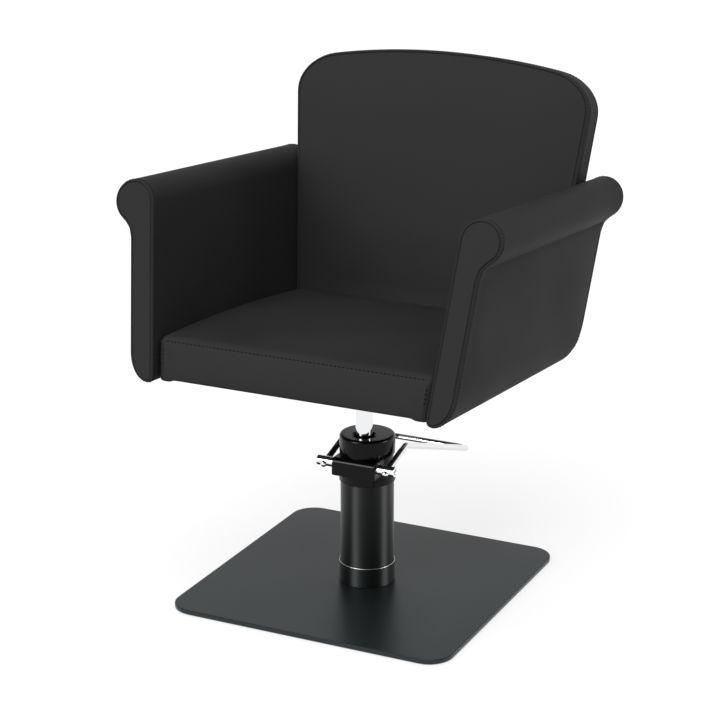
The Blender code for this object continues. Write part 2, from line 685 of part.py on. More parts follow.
def build_arms(tilted, leather, wood):
    """Two padded arms on plywood cores."""
    pads = {}
    cores = {}
    for name, side in SIDES.items():
        frame = arm_frame(side)
        bm = prism(arm_outline(), 0, ARM_LENGTH)
        rims = [edge for edge in bm.edges if len({round(v.co.z, 6) for v in edge.verts}) == 1]
        bmesh.ops.bevel(bm, geom=rims, offset=ARM_SEAM_R, segments=2, profile=0.5, affect="EDGES")
        bmesh.ops.transform(bm, matrix=frame, verts=bm.verts[:])
        pad = finish(f"arm_pad_{name}", bm, leather, tilted)

        beyond = ARM_THICK
        heel = [(ARM_LENGTH + beyond, -ARM_DROP - beyond), (ARM_LENGTH + beyond, ARM_HEEL_R - ARM_DROP)]
        heel += arc((ARM_LENGTH - ARM_HEEL_R, ARM_HEEL_R - ARM_DROP), ARM_HEEL_R, 0, -90, ARC_STEPS)
        heel.append((ARM_LENGTH - ARM_HEEL_R, -ARM_DROP - beyond))
        corner = prism(heel, -beyond, ARM_THICK + beyond)
        swap = Matrix(((0, 0, 1, 0), (0, 1, 0, 0), (1, 0, 0, 0), (0, 0, 0, 1)))
        bmesh.ops.transform(corner, matrix=frame @ swap, verts=corner.verts[:])

        core_end = ARM_LENGTH - CORE_MARGIN
        core = block((CORE_INSET, CORE_FOOT, CORE_MARGIN), (CORE_INSET + CORE_THICK, CORE_TOP, core_end))
        bmesh.ops.transform(core, matrix=frame, verts=core.verts[:])
        cores[name] = finish(f"arm_core_{name}", core, wood, tilted)
        slot = block((CORE_INSET - GAP, -ARM_DROP * 2, CORE_MARGIN - GAP),
                     (CORE_INSET + CORE_THICK + GAP, CORE_TOP + GAP, core_end + GAP))
        bmesh.ops.transform(slot, matrix=frame, verts=slot.verts[:])
        cut(pad, cutter(f"arm_heel_{name}", corner, tilted), cutter(f"core_slot_{name}", slot, tilted))
        pads[name] = pad
    return pads, cores


def seat_outline(height, inset):
    """Plan of the seat cushion at a height, drawn in by an inset, with points enough for its crown."""
    half = inside_of_arm(height) - SEAT_SIDE_GAP - inset
    front = -SEAT_FRONT + height * math.tan(RAKE) + inset
    rear = BACK_FOOT + height * math.tan(LEAN) - SEAT_BACK_GAP - inset
    corner = max(SEAT_CORNER - inset, SEAT_CORNER * LEAST_CORNER)
    points = arc((half - corner, rear - corner), corner, 0, 90, EDGE_STEPS)
    points += arc((corner - half, rear - corner), corner, 90, 180, EDGE_STEPS)
    span = rear - front - 2 * corner
    pitch = span / SEAT_SIDE_STEPS
    side = [(-half, rear - corner - pitch * step) for step in range(1, SEAT_SIDE_STEPS)]
    points += side
    points += arc((corner - half, front + corner), corner, 180, 270, EDGE_STEPS)
    points += arc((half - corner, front + corner), corner, 270, 360, EDGE_STEPS)
    points += [(half, y) for x, y in reversed(side)]
    return points


def seat_section(height, inset, share):
    """One ring of the cushion; share says how much of the crown it takes."""
    middle = (BACK_FOOT - SEAT_FRONT) / 2
    length = BACK_FOOT + SEAT_FRONT
    ring = []
    for x, y in seat_outline(height, inset):
        along = min(1.0, abs(2 * (y - middle) / length))
        ring.append((x, y, height + share * SEAT_CROWN * (1 - along ** 2)))
    return ring


def build_seat(tilted, leather, wood, steel, mount_holes, pads, cores):
    """Plywood board with two rails, the cushion over them and the bolts out into the arms."""
    edge = SEAT_EDGE_HEIGHT
    sections = [seat_section(0, SEAT_DRAW_IN, 0), seat_section(SEAT_DRAW_IN * 2, 0, 0)]
    sections.append(seat_section(edge / 2, SEAT_DRAW_IN, 0.5))
    for drop, inset in arc((0, 0), SEAT_EDGE_R, 90, 0, EDGE_STEPS):
        sections.append(seat_section(edge - SEAT_EDGE_R + drop, SEAT_EDGE_R - inset, 1))
    half = inside_of_arm(0) - SEAT_SIDE_GAP
    for part in SEAT_CROWN_RINGS:
        rise = SEAT_CROWN_RISE * math.sin(part * math.pi / 2)
        sections.append(seat_section(edge + rise, half * part, 1))
    cushion = finish("seat_cushion", loft(sections), leather, tilted)

    board_half = half - SEAT_DRAW_IN - SEAT_COVER
    front = -SEAT_FRONT + SEAT_DRAW_IN + BOARD_FRONT_PAD
    rear = BACK_FOOT - SEAT_BACK_GAP - SEAT_DRAW_IN - SEAT_COVER
    sheet = block((-board_half, front, 0), (board_half, rear, BOARD_THICK))
    board = finish("seat_board", sheet, wood, tilted)
    cut(board, *mount_holes)
    pocket = block((-board_half - GAP, front - GAP, -edge), (board_half + GAP, rear + GAP, BOARD_THICK + GAP))
    cut(cushion, cutter("board_pocket", pocket, tilted))

    rail_foot = BOARD_THICK + GAP
    rail_top = rail_foot + RAIL_HEIGHT
    rail_in = board_half - RAIL_WIDTH
    bolt_z = rail_foot + RAIL_HEIGHT / 2
    room = BOLT_HEAD_HEIGHT + GAP * 2
    for name, side in SIDES.items():
        low = (min(side * rail_in, side * board_half), front + RAIL_MARGIN, rail_foot)
        high = (max(side * rail_in, side * board_half), rear - RAIL_MARGIN, rail_top)
        rail = finish(f"seat_rail_{name}", block(low, high), wood, tilted)
        inner = side * (rail_in - room)
        outer = side * (board_half + GAP)
        channel = block((min(inner, outer), front + RAIL_MARGIN - GAP, BOARD_THICK),
                        (max(inner, outer), rear - RAIL_MARGIN + GAP, rail_top + GAP))
        cut(cushion, cutter(f"rail_channel_{name}", channel, tilted))
        core_in = inside_of_arm(bolt_z) + CORE_INSET
        for number, y in enumerate((-BOLT_FRONT, BOLT_REAR), start=1):
            head = (side * (rail_in - GAP), y, bolt_z)
            tip = (side * (core_in + BOLT_CORE_BITE), y, bolt_z)
            finish(f"arm_bolt_{name}_{number}",
                   screw(tip, head, BOLT_R, BOLT_HEAD_R, BOLT_HEAD_HEIGHT), steel, tilted)
            end = (tip[0] + side * GAP, y, bolt_z)
            hole = rod_between((side * (rail_in - room), y, bolt_z), end, BOLT_R + GAP)
            tool = cutter(f"bolt_hole_{name}_{number}", hole, tilted)
            for target in (rail, cushion, pads[name], cores[name]):
                cut(target, tool)
    return board


def back_point(x, up, depth):
    """A point of the back in the tilted frame: up its face and behind it."""
    y = BACK_FOOT + up * math.sin(LEAN) + depth * math.cos(LEAN)
    z = up * math.cos(LEAN) - depth * math.sin(LEAN)
    return (x, y, z)


def back_outline(inset, foot=0.0):
    """Front view of the back: sides that follow the arms, a round top and round upper corners."""
    widen = math.atan(math.tan(FLARE) * math.cos(LEAN))
    half = ARM_INSIDE / 2 - BACK_SIDE_GAP
    low = foot + inset
    corner = max(BACK_CORNER - inset, BACK_CORNER * LEAST_CORNER)
    top_r = BACK_TOP_R - inset
    centre = BACK_LENGTH - BACK_TOP_R
    side = half * math.cos(widen) - inset - corner
    square = (top_r - corner) ** 2 - (side + centre * math.sin(widen)) ** 2
    along = math.sqrt(square) + centre * math.cos(widen)
    x = side * math.cos(widen) + along * math.sin(widen)
    y = along * math.cos(widen) - side * math.sin(widen)
    turn = -math.degrees(widen)
    lean_in = math.degrees(math.atan2(y - centre, x))
    foot_half = half + low * math.tan(widen) - inset / math.cos(widen)
    right = [(foot_half, low)]
    right += arc((x, y), corner, turn, lean_in, ARC_STEPS)
    right += arc((0, centre), top_r, lean_in, 90, BACK_TOP_STEPS)[1:]
    return right + [(-px, py) for px, py in reversed(right[:-1])]


def clear_of_seat(up):
    """Share of the back's crown at a height: none where the seat cushion meets it."""
    over_seat = up - SEAT_EDGE_HEIGHT - SEAT_CROWN
    return min(1.0, max(0.0, over_seat / BACK_CROWN_FADE))


def build_back(tilted, leather, wood, steel, board):
    """Padded back on a plywood board, held by two steel straps from the seat board."""
    foot = GAP + BACK_THICK * math.sin(LEAN)
    rings = [(BACK_REAR_EDGE, BACK_THICK), (0, BACK_THICK - BACK_REAR_EDGE)]
    rings += [(BACK_EDGE_R - x, BACK_EDGE_R - y) for x, y in arc((0, 0), BACK_EDGE_R, 0, 90, EDGE_STEPS)]
    for inset, share in BACK_CROWN_RINGS:
        rings.append((inset, -BACK_CROWN * share))
    sections = []
    for inset, depth in rings:
        ring = []
        for x, up in back_outline(inset, foot):
            ring.append(back_point(x, up, depth if depth >= 0 else depth * clear_of_seat(up)))
        sections.append(ring)
    pad = finish("back_pad", loft(sections), leather, tilted)

    plan = back_outline(BACK_BOARD_MARGIN, foot)
    face = BACK_BOARD_DEPTH
    rear = face + BACK_BOARD_THICK
    core = loft([[back_point(x, up, depth) for x, up in plan] for depth in (face, rear)])
    core_board = finish("back_board", core, wood, tilted)
    room = back_outline(BACK_BOARD_MARGIN - GAP, foot)
    down = BACK_THICK
    room = [(x, up if up > foot + BACK_BOARD_MARGIN else up - down) for x, up in room]
    pocket = loft([[back_point(x, up, depth) for x, up in room] for depth in (face - GAP, rear + GAP)])
    cut(pad, cutter("back_board_pocket", pocket, tilted))

    strap_face = face - GAP - STRAP_THICK
    low = -GAP
    turn_up = Vector((0, math.sin(LEAN), math.cos(LEAN)))
    upright_front = Vector(back_point(0, 0, strap_face))
    upright_rear = Vector(back_point(0, 0, strap_face + STRAP_THICK))
    inner = upright_front + turn_up * ((low - upright_front.z) / turn_up.z)
    outer = upright_rear + turn_up * ((low - STRAP_THICK - upright_rear.z) / turn_up.z)
    tip_front = back_point(0, STRAP_RISE, strap_face)
    tip_rear = back_point(0, STRAP_RISE, strap_face + STRAP_THICK)
    start = BACK_FOOT - STRAP_REACH
    profile = [(start, low), (inner.y, low), tip_front[1:], tip_rear[1:], (outer.y, low - STRAP_THICK),
               (start, low - STRAP_THICK)]
    head_room = STRAP_SCREW_HEAD_HEIGHT + GAP * 3
    for name, side in SIDES.items():
        x = side * STRAP_SPREAD / 2
        half = STRAP_WIDTH / 2
        bm = prism(profile, x - half, x + half)
        axes = Matrix(((0, 0, 1, 0), (1, 0, 0, 0), (0, 1, 0, 0), (0, 0, 0, 1)))
        bmesh.ops.transform(bm, matrix=axes, verts=bm.verts[:])
        strap = finish(f"back_strap_{name}", bm, steel, tilted)
        sleeve = []
        for depth in (strap_face - head_room, face + GAP):
            ring = []
            for sx, up in ((-1, -down), (1, -down), (1, STRAP_RISE + GAP), (-1, STRAP_RISE + GAP)):
                ring.append(back_point(x + sx * (half + GAP), up, depth))
            sleeve.append(ring)
        cut(pad, cutter(f"strap_pocket_{name}", loft(sleeve), tilted))

        screws = []
        for step in range(2):
            y = start + STRAP_SCREW_END + STRAP_SCREW_PITCH * step
            screws.append(((x, y, low - STRAP_THICK - GAP), (x, y, STRAP_SCREW_BITE), board))
        for step in range(2):
            up = STRAP_RISE - STRAP_SCREW_END - STRAP_SCREW_PITCH * step
            screws.append((back_point(x, up, strap_face - GAP), back_point(x, up, face + STRAP_SCREW_BITE),
                           core_board))
        for number, (head, tip, wooden) in enumerate(screws, start=1):
            pin = screw(tip, head, STRAP_SCREW_R, STRAP_SCREW_HEAD_R, STRAP_SCREW_HEAD_HEIGHT)
            finish(f"strap_screw_{name}_{number}", pin, steel, tilted)
            along = (Vector(tip) - Vector(head)).normalized()
            hole = rod_between(Vector(head) - along * GAP, Vector(tip) + along * GAP, STRAP_SCREW_R + GAP)
            tool = cutter(f"strap_hole_{name}_{number}", hole, tilted)
            cut(strap, tool)
            cut(wooden, tool)


def main():
    for old in list(bpy.data.objects):
        bpy.data.objects.remove(old, do_unlink=True)

    paint = material("powder_coat", (0.055, 0.062, 0.062), 0.45, 0.3)
    gloss = material("gloss_black", (0.012, 0.012, 0.013), 0.15)
    chrome = material("chrome", (0.80, 0.81, 0.82), 0.06, 1.0)
    steel = material("zinc_steel", (0.52, 0.53, 0.54), 0.35, 1.0)
    bronze = material("bronze", (0.45, 0.32, 0.16), 0.35, 1.0)
    rubber = material("black_rubber", (0.02, 0.02, 0.02), 0.85)
    wood = material("plywood", (0.55, 0.40, 0.24), 0.7)
    leather = material("black_leatherette", (0.030, 0.030, 0.030), 0.5)

    build_base(paint, rubber, steel)
    build_pump(paint, gloss, bronze, rubber, steel)
    build_lever(chrome, steel)
    build_plunger(steel)
    build_lift(steel, rubber)

    swivel = empty("swivel_axis", PIVOT)
    tilted = empty("seat_tilt", (0, 0, 0), swivel, -SEAT_TILT)
    mount_holes = build_mount(swivel, tilted, chrome, paint, steel)
    pads, cores = build_arms(tilted, leather, wood)
    board = build_seat(tilted, leather, wood, steel, mount_holes, pads, cores)
    build_back(tilted, leather, wood, steel, board)


main()
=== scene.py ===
"""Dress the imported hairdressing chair: sewn upholstery, painted and chromed metal, a plain studio."""
import json
import math

import bmesh
import bpy
import numpy as np
from bpy.props import FloatProperty, FloatVectorProperty, PointerProperty
from bpy.types import Operator, Panel, PropertyGroup
from mathutils import Matrix, Vector


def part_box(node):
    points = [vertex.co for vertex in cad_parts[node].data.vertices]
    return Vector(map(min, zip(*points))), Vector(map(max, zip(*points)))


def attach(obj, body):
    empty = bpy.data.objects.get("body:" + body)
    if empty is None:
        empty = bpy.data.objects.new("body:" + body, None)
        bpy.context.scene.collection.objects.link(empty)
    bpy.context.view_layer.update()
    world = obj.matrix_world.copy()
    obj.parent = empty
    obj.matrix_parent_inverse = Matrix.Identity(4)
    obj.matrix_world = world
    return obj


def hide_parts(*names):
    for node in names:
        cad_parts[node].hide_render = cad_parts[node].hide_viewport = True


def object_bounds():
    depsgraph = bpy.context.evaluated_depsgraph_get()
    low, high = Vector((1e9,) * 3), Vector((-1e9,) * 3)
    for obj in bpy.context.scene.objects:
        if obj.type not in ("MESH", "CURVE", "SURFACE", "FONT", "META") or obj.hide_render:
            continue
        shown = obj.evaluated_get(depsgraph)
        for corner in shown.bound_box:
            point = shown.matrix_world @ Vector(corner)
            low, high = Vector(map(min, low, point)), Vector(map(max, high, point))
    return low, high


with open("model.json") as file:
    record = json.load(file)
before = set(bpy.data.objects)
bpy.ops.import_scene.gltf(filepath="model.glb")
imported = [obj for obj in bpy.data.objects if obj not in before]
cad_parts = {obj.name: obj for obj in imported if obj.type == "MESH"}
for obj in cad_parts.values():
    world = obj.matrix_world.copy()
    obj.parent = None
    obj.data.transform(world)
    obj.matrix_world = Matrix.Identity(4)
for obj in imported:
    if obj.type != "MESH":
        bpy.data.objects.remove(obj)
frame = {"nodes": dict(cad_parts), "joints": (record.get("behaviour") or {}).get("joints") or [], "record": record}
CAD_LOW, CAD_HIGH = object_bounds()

bl_info = {
    "name": "Hairdressing chair",
    "version": (1, 0, 0),
    "blender": (4, 5, 0),
    "location": "3D View > Sidebar > Chair",
    "description": "Dresses the packed chair: upholstery, seams, metal finishes and a plain studio",
    "category": "Object",
}

NODES = frame["nodes"]
JOINTS = {joint["name"]: joint for joint in frame["joints"]}
SWIVEL = Vector(JOINTS["seat_swivel"]["pos_m"])
RAM_AXIS = (SWIVEL.x, SWIVEL.y)
HINGE = Vector(JOINTS["pedal_hinge"]["pos_m"])
SIDES = {"left": -1, "right": 1}

# Distance at which two points count as one
SAME = 1e-6
# Room between pieces that touch
ROOM = 0.0003
# Steps of a full turn, of a round corner and of an eased edge
TURN_STEPS = 96
CORNER_STEPS = 12
EDGE_STEPS = 3
# Size of the small faces of the upholstery
PITCH = 0.012
# From the middle of a sewn seam to the lips beside it
SEAM_HALF = 0.0012
# Degrees between faces from which a turned edge is eased and a carved one is shaded sharp
EASED_ANGLE = 30
CARVED_ANGLE = 35
# Range of a noise over which a finish changes
NOISE_ENDS = (0.3, 0.7)
# Cloth simulation: its frames, its steps in a frame and the pressure that fills a cover
CLOTH_FRAMES = 20
CLOTH_QUALITY = 6
CLOTH_PRESSURE = 4.0
# Cap: from its side in to the flat of its top, in radii of its edge
CAP_FLAT = 1.5
# Lever: height of its domed ends in radii of the rod, their steps, and the fineness of the rod's round
DOME_SHARE = 0.6
DOME_STEPS = 6
ROD_STEPS = 8
# Seat: steps of the upper and lower rim, and how far the plain cuts stay under the front seam
TOP_RIM_STEPS = 4
FOOT_RIM_STEPS = 2
SEAM_CLEAR = 0.004
# Arms: steps of the arcs that shape the outline, steps of each rail, cuts across the end panels,
# half the width of the fold under the roll, and the lowest steps of the outside that don't swell
FINE_STEPS = 40
RAIL_STEPS = 58
PANEL_CUTS = 5
CREASE_HALF = 0.003
HELD_FOOT = 6
# Back: cuts across each upper corner
CORNER_CUTS = 6
# Stitches: sides and rows of faces of each, and how many are made in one go
STITCH_SIDES = 6
STITCH_ROWS = 4
STITCH_BATCH = 40
# Studio: half the floor's width, the camera's sensor in millimetres, and the lamps with the setting of
# their strength, azimuth, elevation and width in degrees, and whether they light matt surfaces
FLOOR_HALF = 60.0
SENSOR_WIDTH = 36.0
LAMPS = {
    "key": ("key", -15.0, 31.0, 30.0, True),
    "top": ("top", 15.0, 68.0, 40.0, True),
    "left": ("shine", -28.0, 15.0, 26.0, False),
    "right": ("shine", 102.0, 10.0, 26.0, False),
}


def length(name, description, default):
    """A size in metres."""
    return FloatProperty(name=name, description=description, default=default, min=0.0, precision=4,
                         unit="LENGTH", subtype="DISTANCE")


def turn(name, description, degrees):
    """An angle, given in degrees."""
    return FloatProperty(name=name, description=description, default=math.radians(degrees),
                         unit="ROTATION", subtype="ANGLE")


def level(name, description, default):
    """A plain number from nought upwards."""
    return FloatProperty(name=name, description=description, default=default, min=0.0)


def colour(name, description, default):
    """A linear colour."""
    return FloatVectorProperty(name=name, description=description, default=default, size=3,
                               min=0.0, max=1.0, subtype="COLOR")


class SeatSizes(PropertyGroup):
    """Sizes of the seat cushion, in the tilted frame of the seat"""

    tilt: turn("Tilt", "Backward tilt of seat, arms and back", 5.0)
    front: length("Front", "From the swivel to the foot of the front panel", 0.269)
    edge: length("Edge height", "Height of the cushion at its rim", 0.067)
    crown: length("Crown", "Rise of the top between front and back", 0.012)
    side_fall: level("Side fall", "Share of the rise that is lost at the sides", 0.45)
    corner: length("Corner", "Radius of the upright corners", 0.012)
    rim: length("Rim", "Radius of the rolled top edge", 0.014)
    side_gap: length("Side gap", "Gap to each arm", 0.002)
    back_gap: length("Back gap", "Gap to the back", 0.0008)
    seam_drop: length("Seam drop", "From the top's edge down to the front seam", 0.0070)
    side_seam: length("Side seam", "From the upright seams to the cushion's sides", 0.0095)
    foot_rim: length("Foot rim", "Radius of the lower edge", 0.003)
    tab: length("Tab", "Width of the folded cover at each lower front corner", 0.024)
    fold: length("Fold", "Half the width of the step beside the folded cover", 0.003)
    tab_drop: length("Tab drop", "How far the folded cover hangs down", 0.003)
    board_side: length("Board side", "From the board to the cushion's sides", 0.0055)
    board_front: length("Board front", "From the board to the front panel", 0.0135)
    board_thick: length("Board thickness", "Depth of the pocket that takes the board", 0.0156)
    swell: length("Swell", "Most that the cover bulges", 0.004)


class ArmSizes(PropertyGroup):
    """Sizes of an arm, in the tilted frame of the seat"""

    inside: length("Inside", "Space between the arms at their foot", 0.4698)
    flare: turn("Flare", "Outward lean", 5.2)
    rake: turn("Rake", "Backward lean of the front", 7.25)
    front: length("Front", "From the swivel to the foot of the front panel", 0.2818)
    length: length("Length", "Length along the seat", 0.540)
    drop: length("Drop", "Reach below the seat", 0.005)
    thick: length("Thickness", "Thickness of the upright part", 0.0415)
    roll: length("Roll", "Radius of the rolled top", 0.0346)
    roll_height: length("Roll height", "Height of the roll's centre", 0.278)
    neck: length("Neck", "Radius of the hollow under the roll", 0.038)
    tip: length("Tip", "Radius of the foot's inner corner", 0.009)
    keel_height: length("Keel height", "Height of the rounded foot", 0.048)
    crease: length("Crease", "Depth of the fold under the roll", 0.0050)
    heel: length("Heel", "Radius of the lower rear corner", 0.026)
    rim: length("Rim", "Radius of the edge round the end panels", 0.0028)
    panel_seam: length("Panel seam", "From the outline in to the seam on the end panels", 0.0041)
    border: length("Border", "From the outline in to the soft part of the end panels", 0.0070)
    seam: length("Seam", "From the end panels back to the stitched seam on the side", 0.0052)
    swell: length("Swell", "Most that the cover bulges", 0.003)


class BackSizes(PropertyGroup):
    """Sizes of the back, in the tilted frame of the seat"""

    foot: length("Foot", "From the swivel to the foot of the back", 0.2071)
    lean: turn("Lean", "Backward lean from the tilted frame", 6.75)
    length: length("Length", "Height along the face", 0.500)
    thick: length("Thickness", "Thickness of the pad", 0.050)
    side_gap: length("Side gap", "Gap to each arm", 0.0006)
    top: length("Top", "Radius of the arched top", 0.870)
    corner: length("Corner", "Radius of the upper corners", 0.062)
    rim: length("Rim", "Radius of the edges", 0.0036)
    heel: length("Heel", "Radius of the lower rear edge", 0.036)
    crown: length("Crown", "Rise of the face in its middle", 0.004)
    border: length("Border", "From the outline in to where the crown is full", 0.12)
    fade: length("Fade", "Height over the seat where the crown is full", 0.100)
    face_seam: length("Face seam", "From the outline in to the seam on the faces", 0.0050)
    seam: length("Seam", "From the faces to the stitched seam on the boxing", 0.0064)
    swell: length("Swell", "Most that the cover bulges", 0.004)


class SewingSizes(PropertyGroup):
    """Sizes of seams and stitches"""

    pitch: length("Pitch", "From one stitch to the next on arms and back", 0.0057)
    seat_pitch: length("Seat pitch", "From one stitch to the next on the seat", 0.0070)
    stitch: level("Stitch", "Share of the pitch that a stitch takes", 0.58)
    thread: length("Thread", "Thickness of the thread", 0.0021)
    rise: length("Stitch rise", "How far a stitch lies above the bottom of its row", 0.0004)
    depth: length("Seam depth", "How deep a plain seam draws the cover in", 0.0022)
    row_depth: length("Row depth", "How deep a row of stitches draws the cover in", 0.0006)
    lip: length("Seam lip", "How far the cover stands up beside a seam", 0.0005)


class MetalSizes(PropertyGroup):
    """Sizes of the base, the pump and the lever that the frame's boxes don't give"""

    plate_corner: length("Plate corner", "Radius of the plate's corners", 0.042)
    plate_edge: length("Plate edge", "Radius of the plate's rim", 0.0014)
    collar_edge: length("Collar edge", "Radius of the collar's bare edge", 0.0009)
    collar_wall: length("Collar wall", "Wall of the collar", 0.0021)
    collar_floor: length("Collar floor", "Thickness of the collar's floor", 0.009)
    tube_wall: length("Tube wall", "Wall of the pump's tube", 0.003)
    tube_edge: length("Tube edge", "Radius of the tube's edges", 0.0006)
    clamp_wall: length("Clamp wall", "Wall of the clamp ring", 0.0022)
    clamp_edge: length("Clamp edge", "Radius of the clamp ring's edges", 0.0005)
    slit: turn("Slit", "Direction of the clamp ring's slit", -52.0)
    slit_width: length("Slit width", "Width of the clamp ring's slit", 0.0018)
    head: length("Head", "Radius of the pump head", 0.044)
    head_edge: length("Head edge", "Chamfer under the pump head", 0.006)
    block: length("Block", "Width of the front block", 0.079)
    block_round: length("Block edge", "Radius of the block's top edge", 0.008)
    block_side: length("Block side", "Radius of the block's upright edges", 0.0022)
    block_tail: length("Block tail", "From the axle to the rear of the block", 0.030)
    cap_edge: length("Cap edge", "Radius of the cap's edge", 0.0045)
    cap_mouth: length("Cap mouth", "Depth of the cap's mouth", 0.0035)
    seal_edge: length("Seal edge", "Radius of the wiper seal's edges", 0.0003)
    rod: length("Ram", "Radius of the ram", 0.0145)
    rod_edge: length("Ram edge", "Radius of the edges at the ram's ends", 0.0012)
    bush: length("Bush", "Outer radius of the ram's bush", 0.0178)
    axle: length("Axle", "Radius of the axle", 0.0085)
    axle_edge: length("Axle edge", "Radius of the edges at the axle's ends", 0.0011)
    axle_bush: length("Axle bush", "Outer radius of the axle's bushes", 0.0103)
    axle_bush_depth: length("Bush depth", "Depth of the axle's bushes", 0.008)
    grub: length("Grub screw", "Radius of the axle's end bores", 0.0033)
    finger: length("Finger", "Half width of the pocket for the finger", 0.0045)
    finger_x: length("Finger place", "Sideways place of the finger's pocket", 0.025)
    finger_reach: length("Finger reach", "Length of the finger's pocket", 0.027)
    finger_floor: length("Finger floor", "Height of the pocket's floor over the head's foot", 0.0045)
    lever: length("Lever", "Radius of the lever's rod", 0.0055)
    spread: length("Spread", "Space between the lever's legs, middle to middle", 0.113)
    stub: length("Stub", "How far the lever passes the axle", 0.0135)
    rise: turn("Rise", "Slope of the lever's rising part", 17.0)
    rise_length: length("Rise length", "Length of the rising part", 0.0745)
    fall: turn("Fall", "Slope of the lever's falling part", 18.8)
    fall_length: length("Fall length", "Length of the falling part", 0.240)
    foot_spread: length("Foot spread", "Space between the legs at the foot bar, middle to middle", 0.156)
    knee: length("Knee", "Bend radius at the top", 0.016)
    bend: length("Bend", "Bend radius at the foot bar", 0.020)


class Colours(PropertyGroup):
    """Colours of the finishes"""

    leather: colour("Leatherette", "Cover of the upholstery", (0.0225, 0.0225, 0.0227))
    thread: colour("Thread", "Sewing thread", (0.0015, 0.0015, 0.0016))
    plate: colour("Plate", "Powder coat of the base plate", (0.0095, 0.0118, 0.0126))
    paint: colour("Pump paint", "Satin paint of the pump", (0.0020, 0.0024, 0.0026))
    plate_sheen: colour("Plate sheen", "Tint of the powder coat's reflections", (0.78, 0.96, 1.0))
    pump_sheen: colour("Pump sheen", "Tint of the pump paint's reflections", (0.93, 0.99, 1.0))
    gloss: colour("Gloss black", "Gloss paint of the pump head", (0.004, 0.004, 0.0043))
    chrome: colour("Chrome", "Ram, axle and lever", (0.80, 0.81, 0.82))
    zinc: colour("Zinc", "Screws and straps", (0.52, 0.53, 0.54))
    bronze: colour("Bronze", "Bushes", (0.20, 0.15, 0.09))
    rubber: colour("Rubber", "Mat and seals", (0.014, 0.014, 0.014))
    wood: colour("Plywood", "Dark stained boards and rails", (0.030, 0.025, 0.021))
    floor: colour("Floor", "Studio floor", (0.28, 0.28, 0.28))


class StudioSettings(PropertyGroup):
    """Camera and light"""

    azimuth: turn("Azimuth", "Camera's way round to the right of the front", 25.846)
    elevation: turn("Elevation", "Camera's height angle", 17.92)
    distance: length("Distance", "Camera to aim", 3.516)
    aim_side: FloatProperty(name="Aim across", description="Sideways place of the aim", default=-0.0136,
                            unit="LENGTH", subtype="DISTANCE")
    aim_height: length("Aim height", "Height of the aim", 0.3971)
    lens: level("Lens", "Focal length in millimetres", 106.468)
    horizon: level("Horizon", "Strength of the even light from all round", 0.39)
    zenith: level("Zenith", "Strength of the even light from above", 1.00)
    ceiling: level("Ceiling", "How bright mirrors show the studio overhead", 0.10)
    key: level("Key", "Strength of the soft light from the front", 1.00)
    top: level("Top", "Strength of the soft light from above", 1.4)
    shine: level("Shine", "Strength of the panels left and right that only show as highlights", 1.8)
    glow: level("Floor glow", "Share of white that the floor adds to what the camera sees", 0.70)


class ChairSettings(PropertyGroup):
    """All settings of the chair"""

    seat: PointerProperty(type=SeatSizes)
    arm: PointerProperty(type=ArmSizes)
    back: PointerProperty(type=BackSizes)
    sewing: PointerProperty(type=SewingSizes)
    metal: PointerProperty(type=MetalSizes)
    colours: PointerProperty(type=Colours)
    studio: PointerProperty(type=StudioSettings)


# Node helpers and shared groups

def node(tree, kind, values=None, **settings):
    """Add a node, with settings of its own and values of its sockets."""
    made = tree.nodes.new(kind)
    for key, value in settings.items():
        setattr(made, key, value)
    for key, value in (values or {}).items():
        made.inputs[key].default_value = value
    return made


def combine(tree, operation, *terms):
    """Result of a Math node; its terms are sockets or plain numbers."""
    made = node(tree, "ShaderNodeMath", operation=operation)
    for place, term in zip(made.inputs, terms):
        if isinstance(term, bpy.types.NodeSocket):
            tree.links.new(term, place)
        else:
            place.default_value = term
    return made.outputs[0]


def new_group(name, inputs, outputs):
    """A shared node group with number sockets: its tree and the nodes at its two ends."""
    tree = bpy.data.node_groups.new(name, "ShaderNodeTree")
    for key, default in inputs.items():
        socket = tree.interface.new_socket(name=key, in_out="INPUT", socket_type="NodeSocketFloat")
        socket.default_value = default
    for key in outputs:
        tree.interface.new_socket(name=key, in_out="OUTPUT", socket_type="NodeSocketFloat")
    return tree, node(tree, "NodeGroupInput"), node(tree, "NodeGroupOutput")


def pebble_group():
    """Fine pebbled grain of leatherette and rubber: its height, and a slow change over the surface."""
    if "pebble_grain" in bpy.data.node_groups:
        return bpy.data.node_groups["pebble_grain"]
    scales = {"Scale": 900.0, "Patch Scale": 9.0}
    tree, given, result = new_group("pebble_grain", scales, ("Height", "Patch"))
    link = tree.links.new
    place = node(tree, "ShaderNodeTexCoord")
    cells = node(tree, "ShaderNodeTexVoronoi", {"Randomness": 0.9}, feature="SMOOTH_F1")
    folds = node(tree, "ShaderNodeTexNoise", {"Detail": 3.0})
    patch = node(tree, "ShaderNodeTexNoise", {"Detail": 2.0, "Roughness": 0.4})
    for texture in (cells, folds, patch):
        link(place.outputs["Object"], texture.inputs["Vector"])
    link(given.outputs["Scale"], cells.inputs["Scale"])
    link(combine(tree, "MULTIPLY", given.outputs["Scale"], 0.32), folds.inputs["Scale"])
    link(given.outputs["Patch Scale"], patch.inputs["Scale"])
    pebbles = combine(tree, "SUBTRACT", 1.0, cells.outputs["Distance"])
    link(combine(tree, "MULTIPLY", pebbles, folds.outputs["Fac"]), result.inputs["Height"])
    link(patch.outputs["Fac"], result.inputs["Patch"])
    return tree


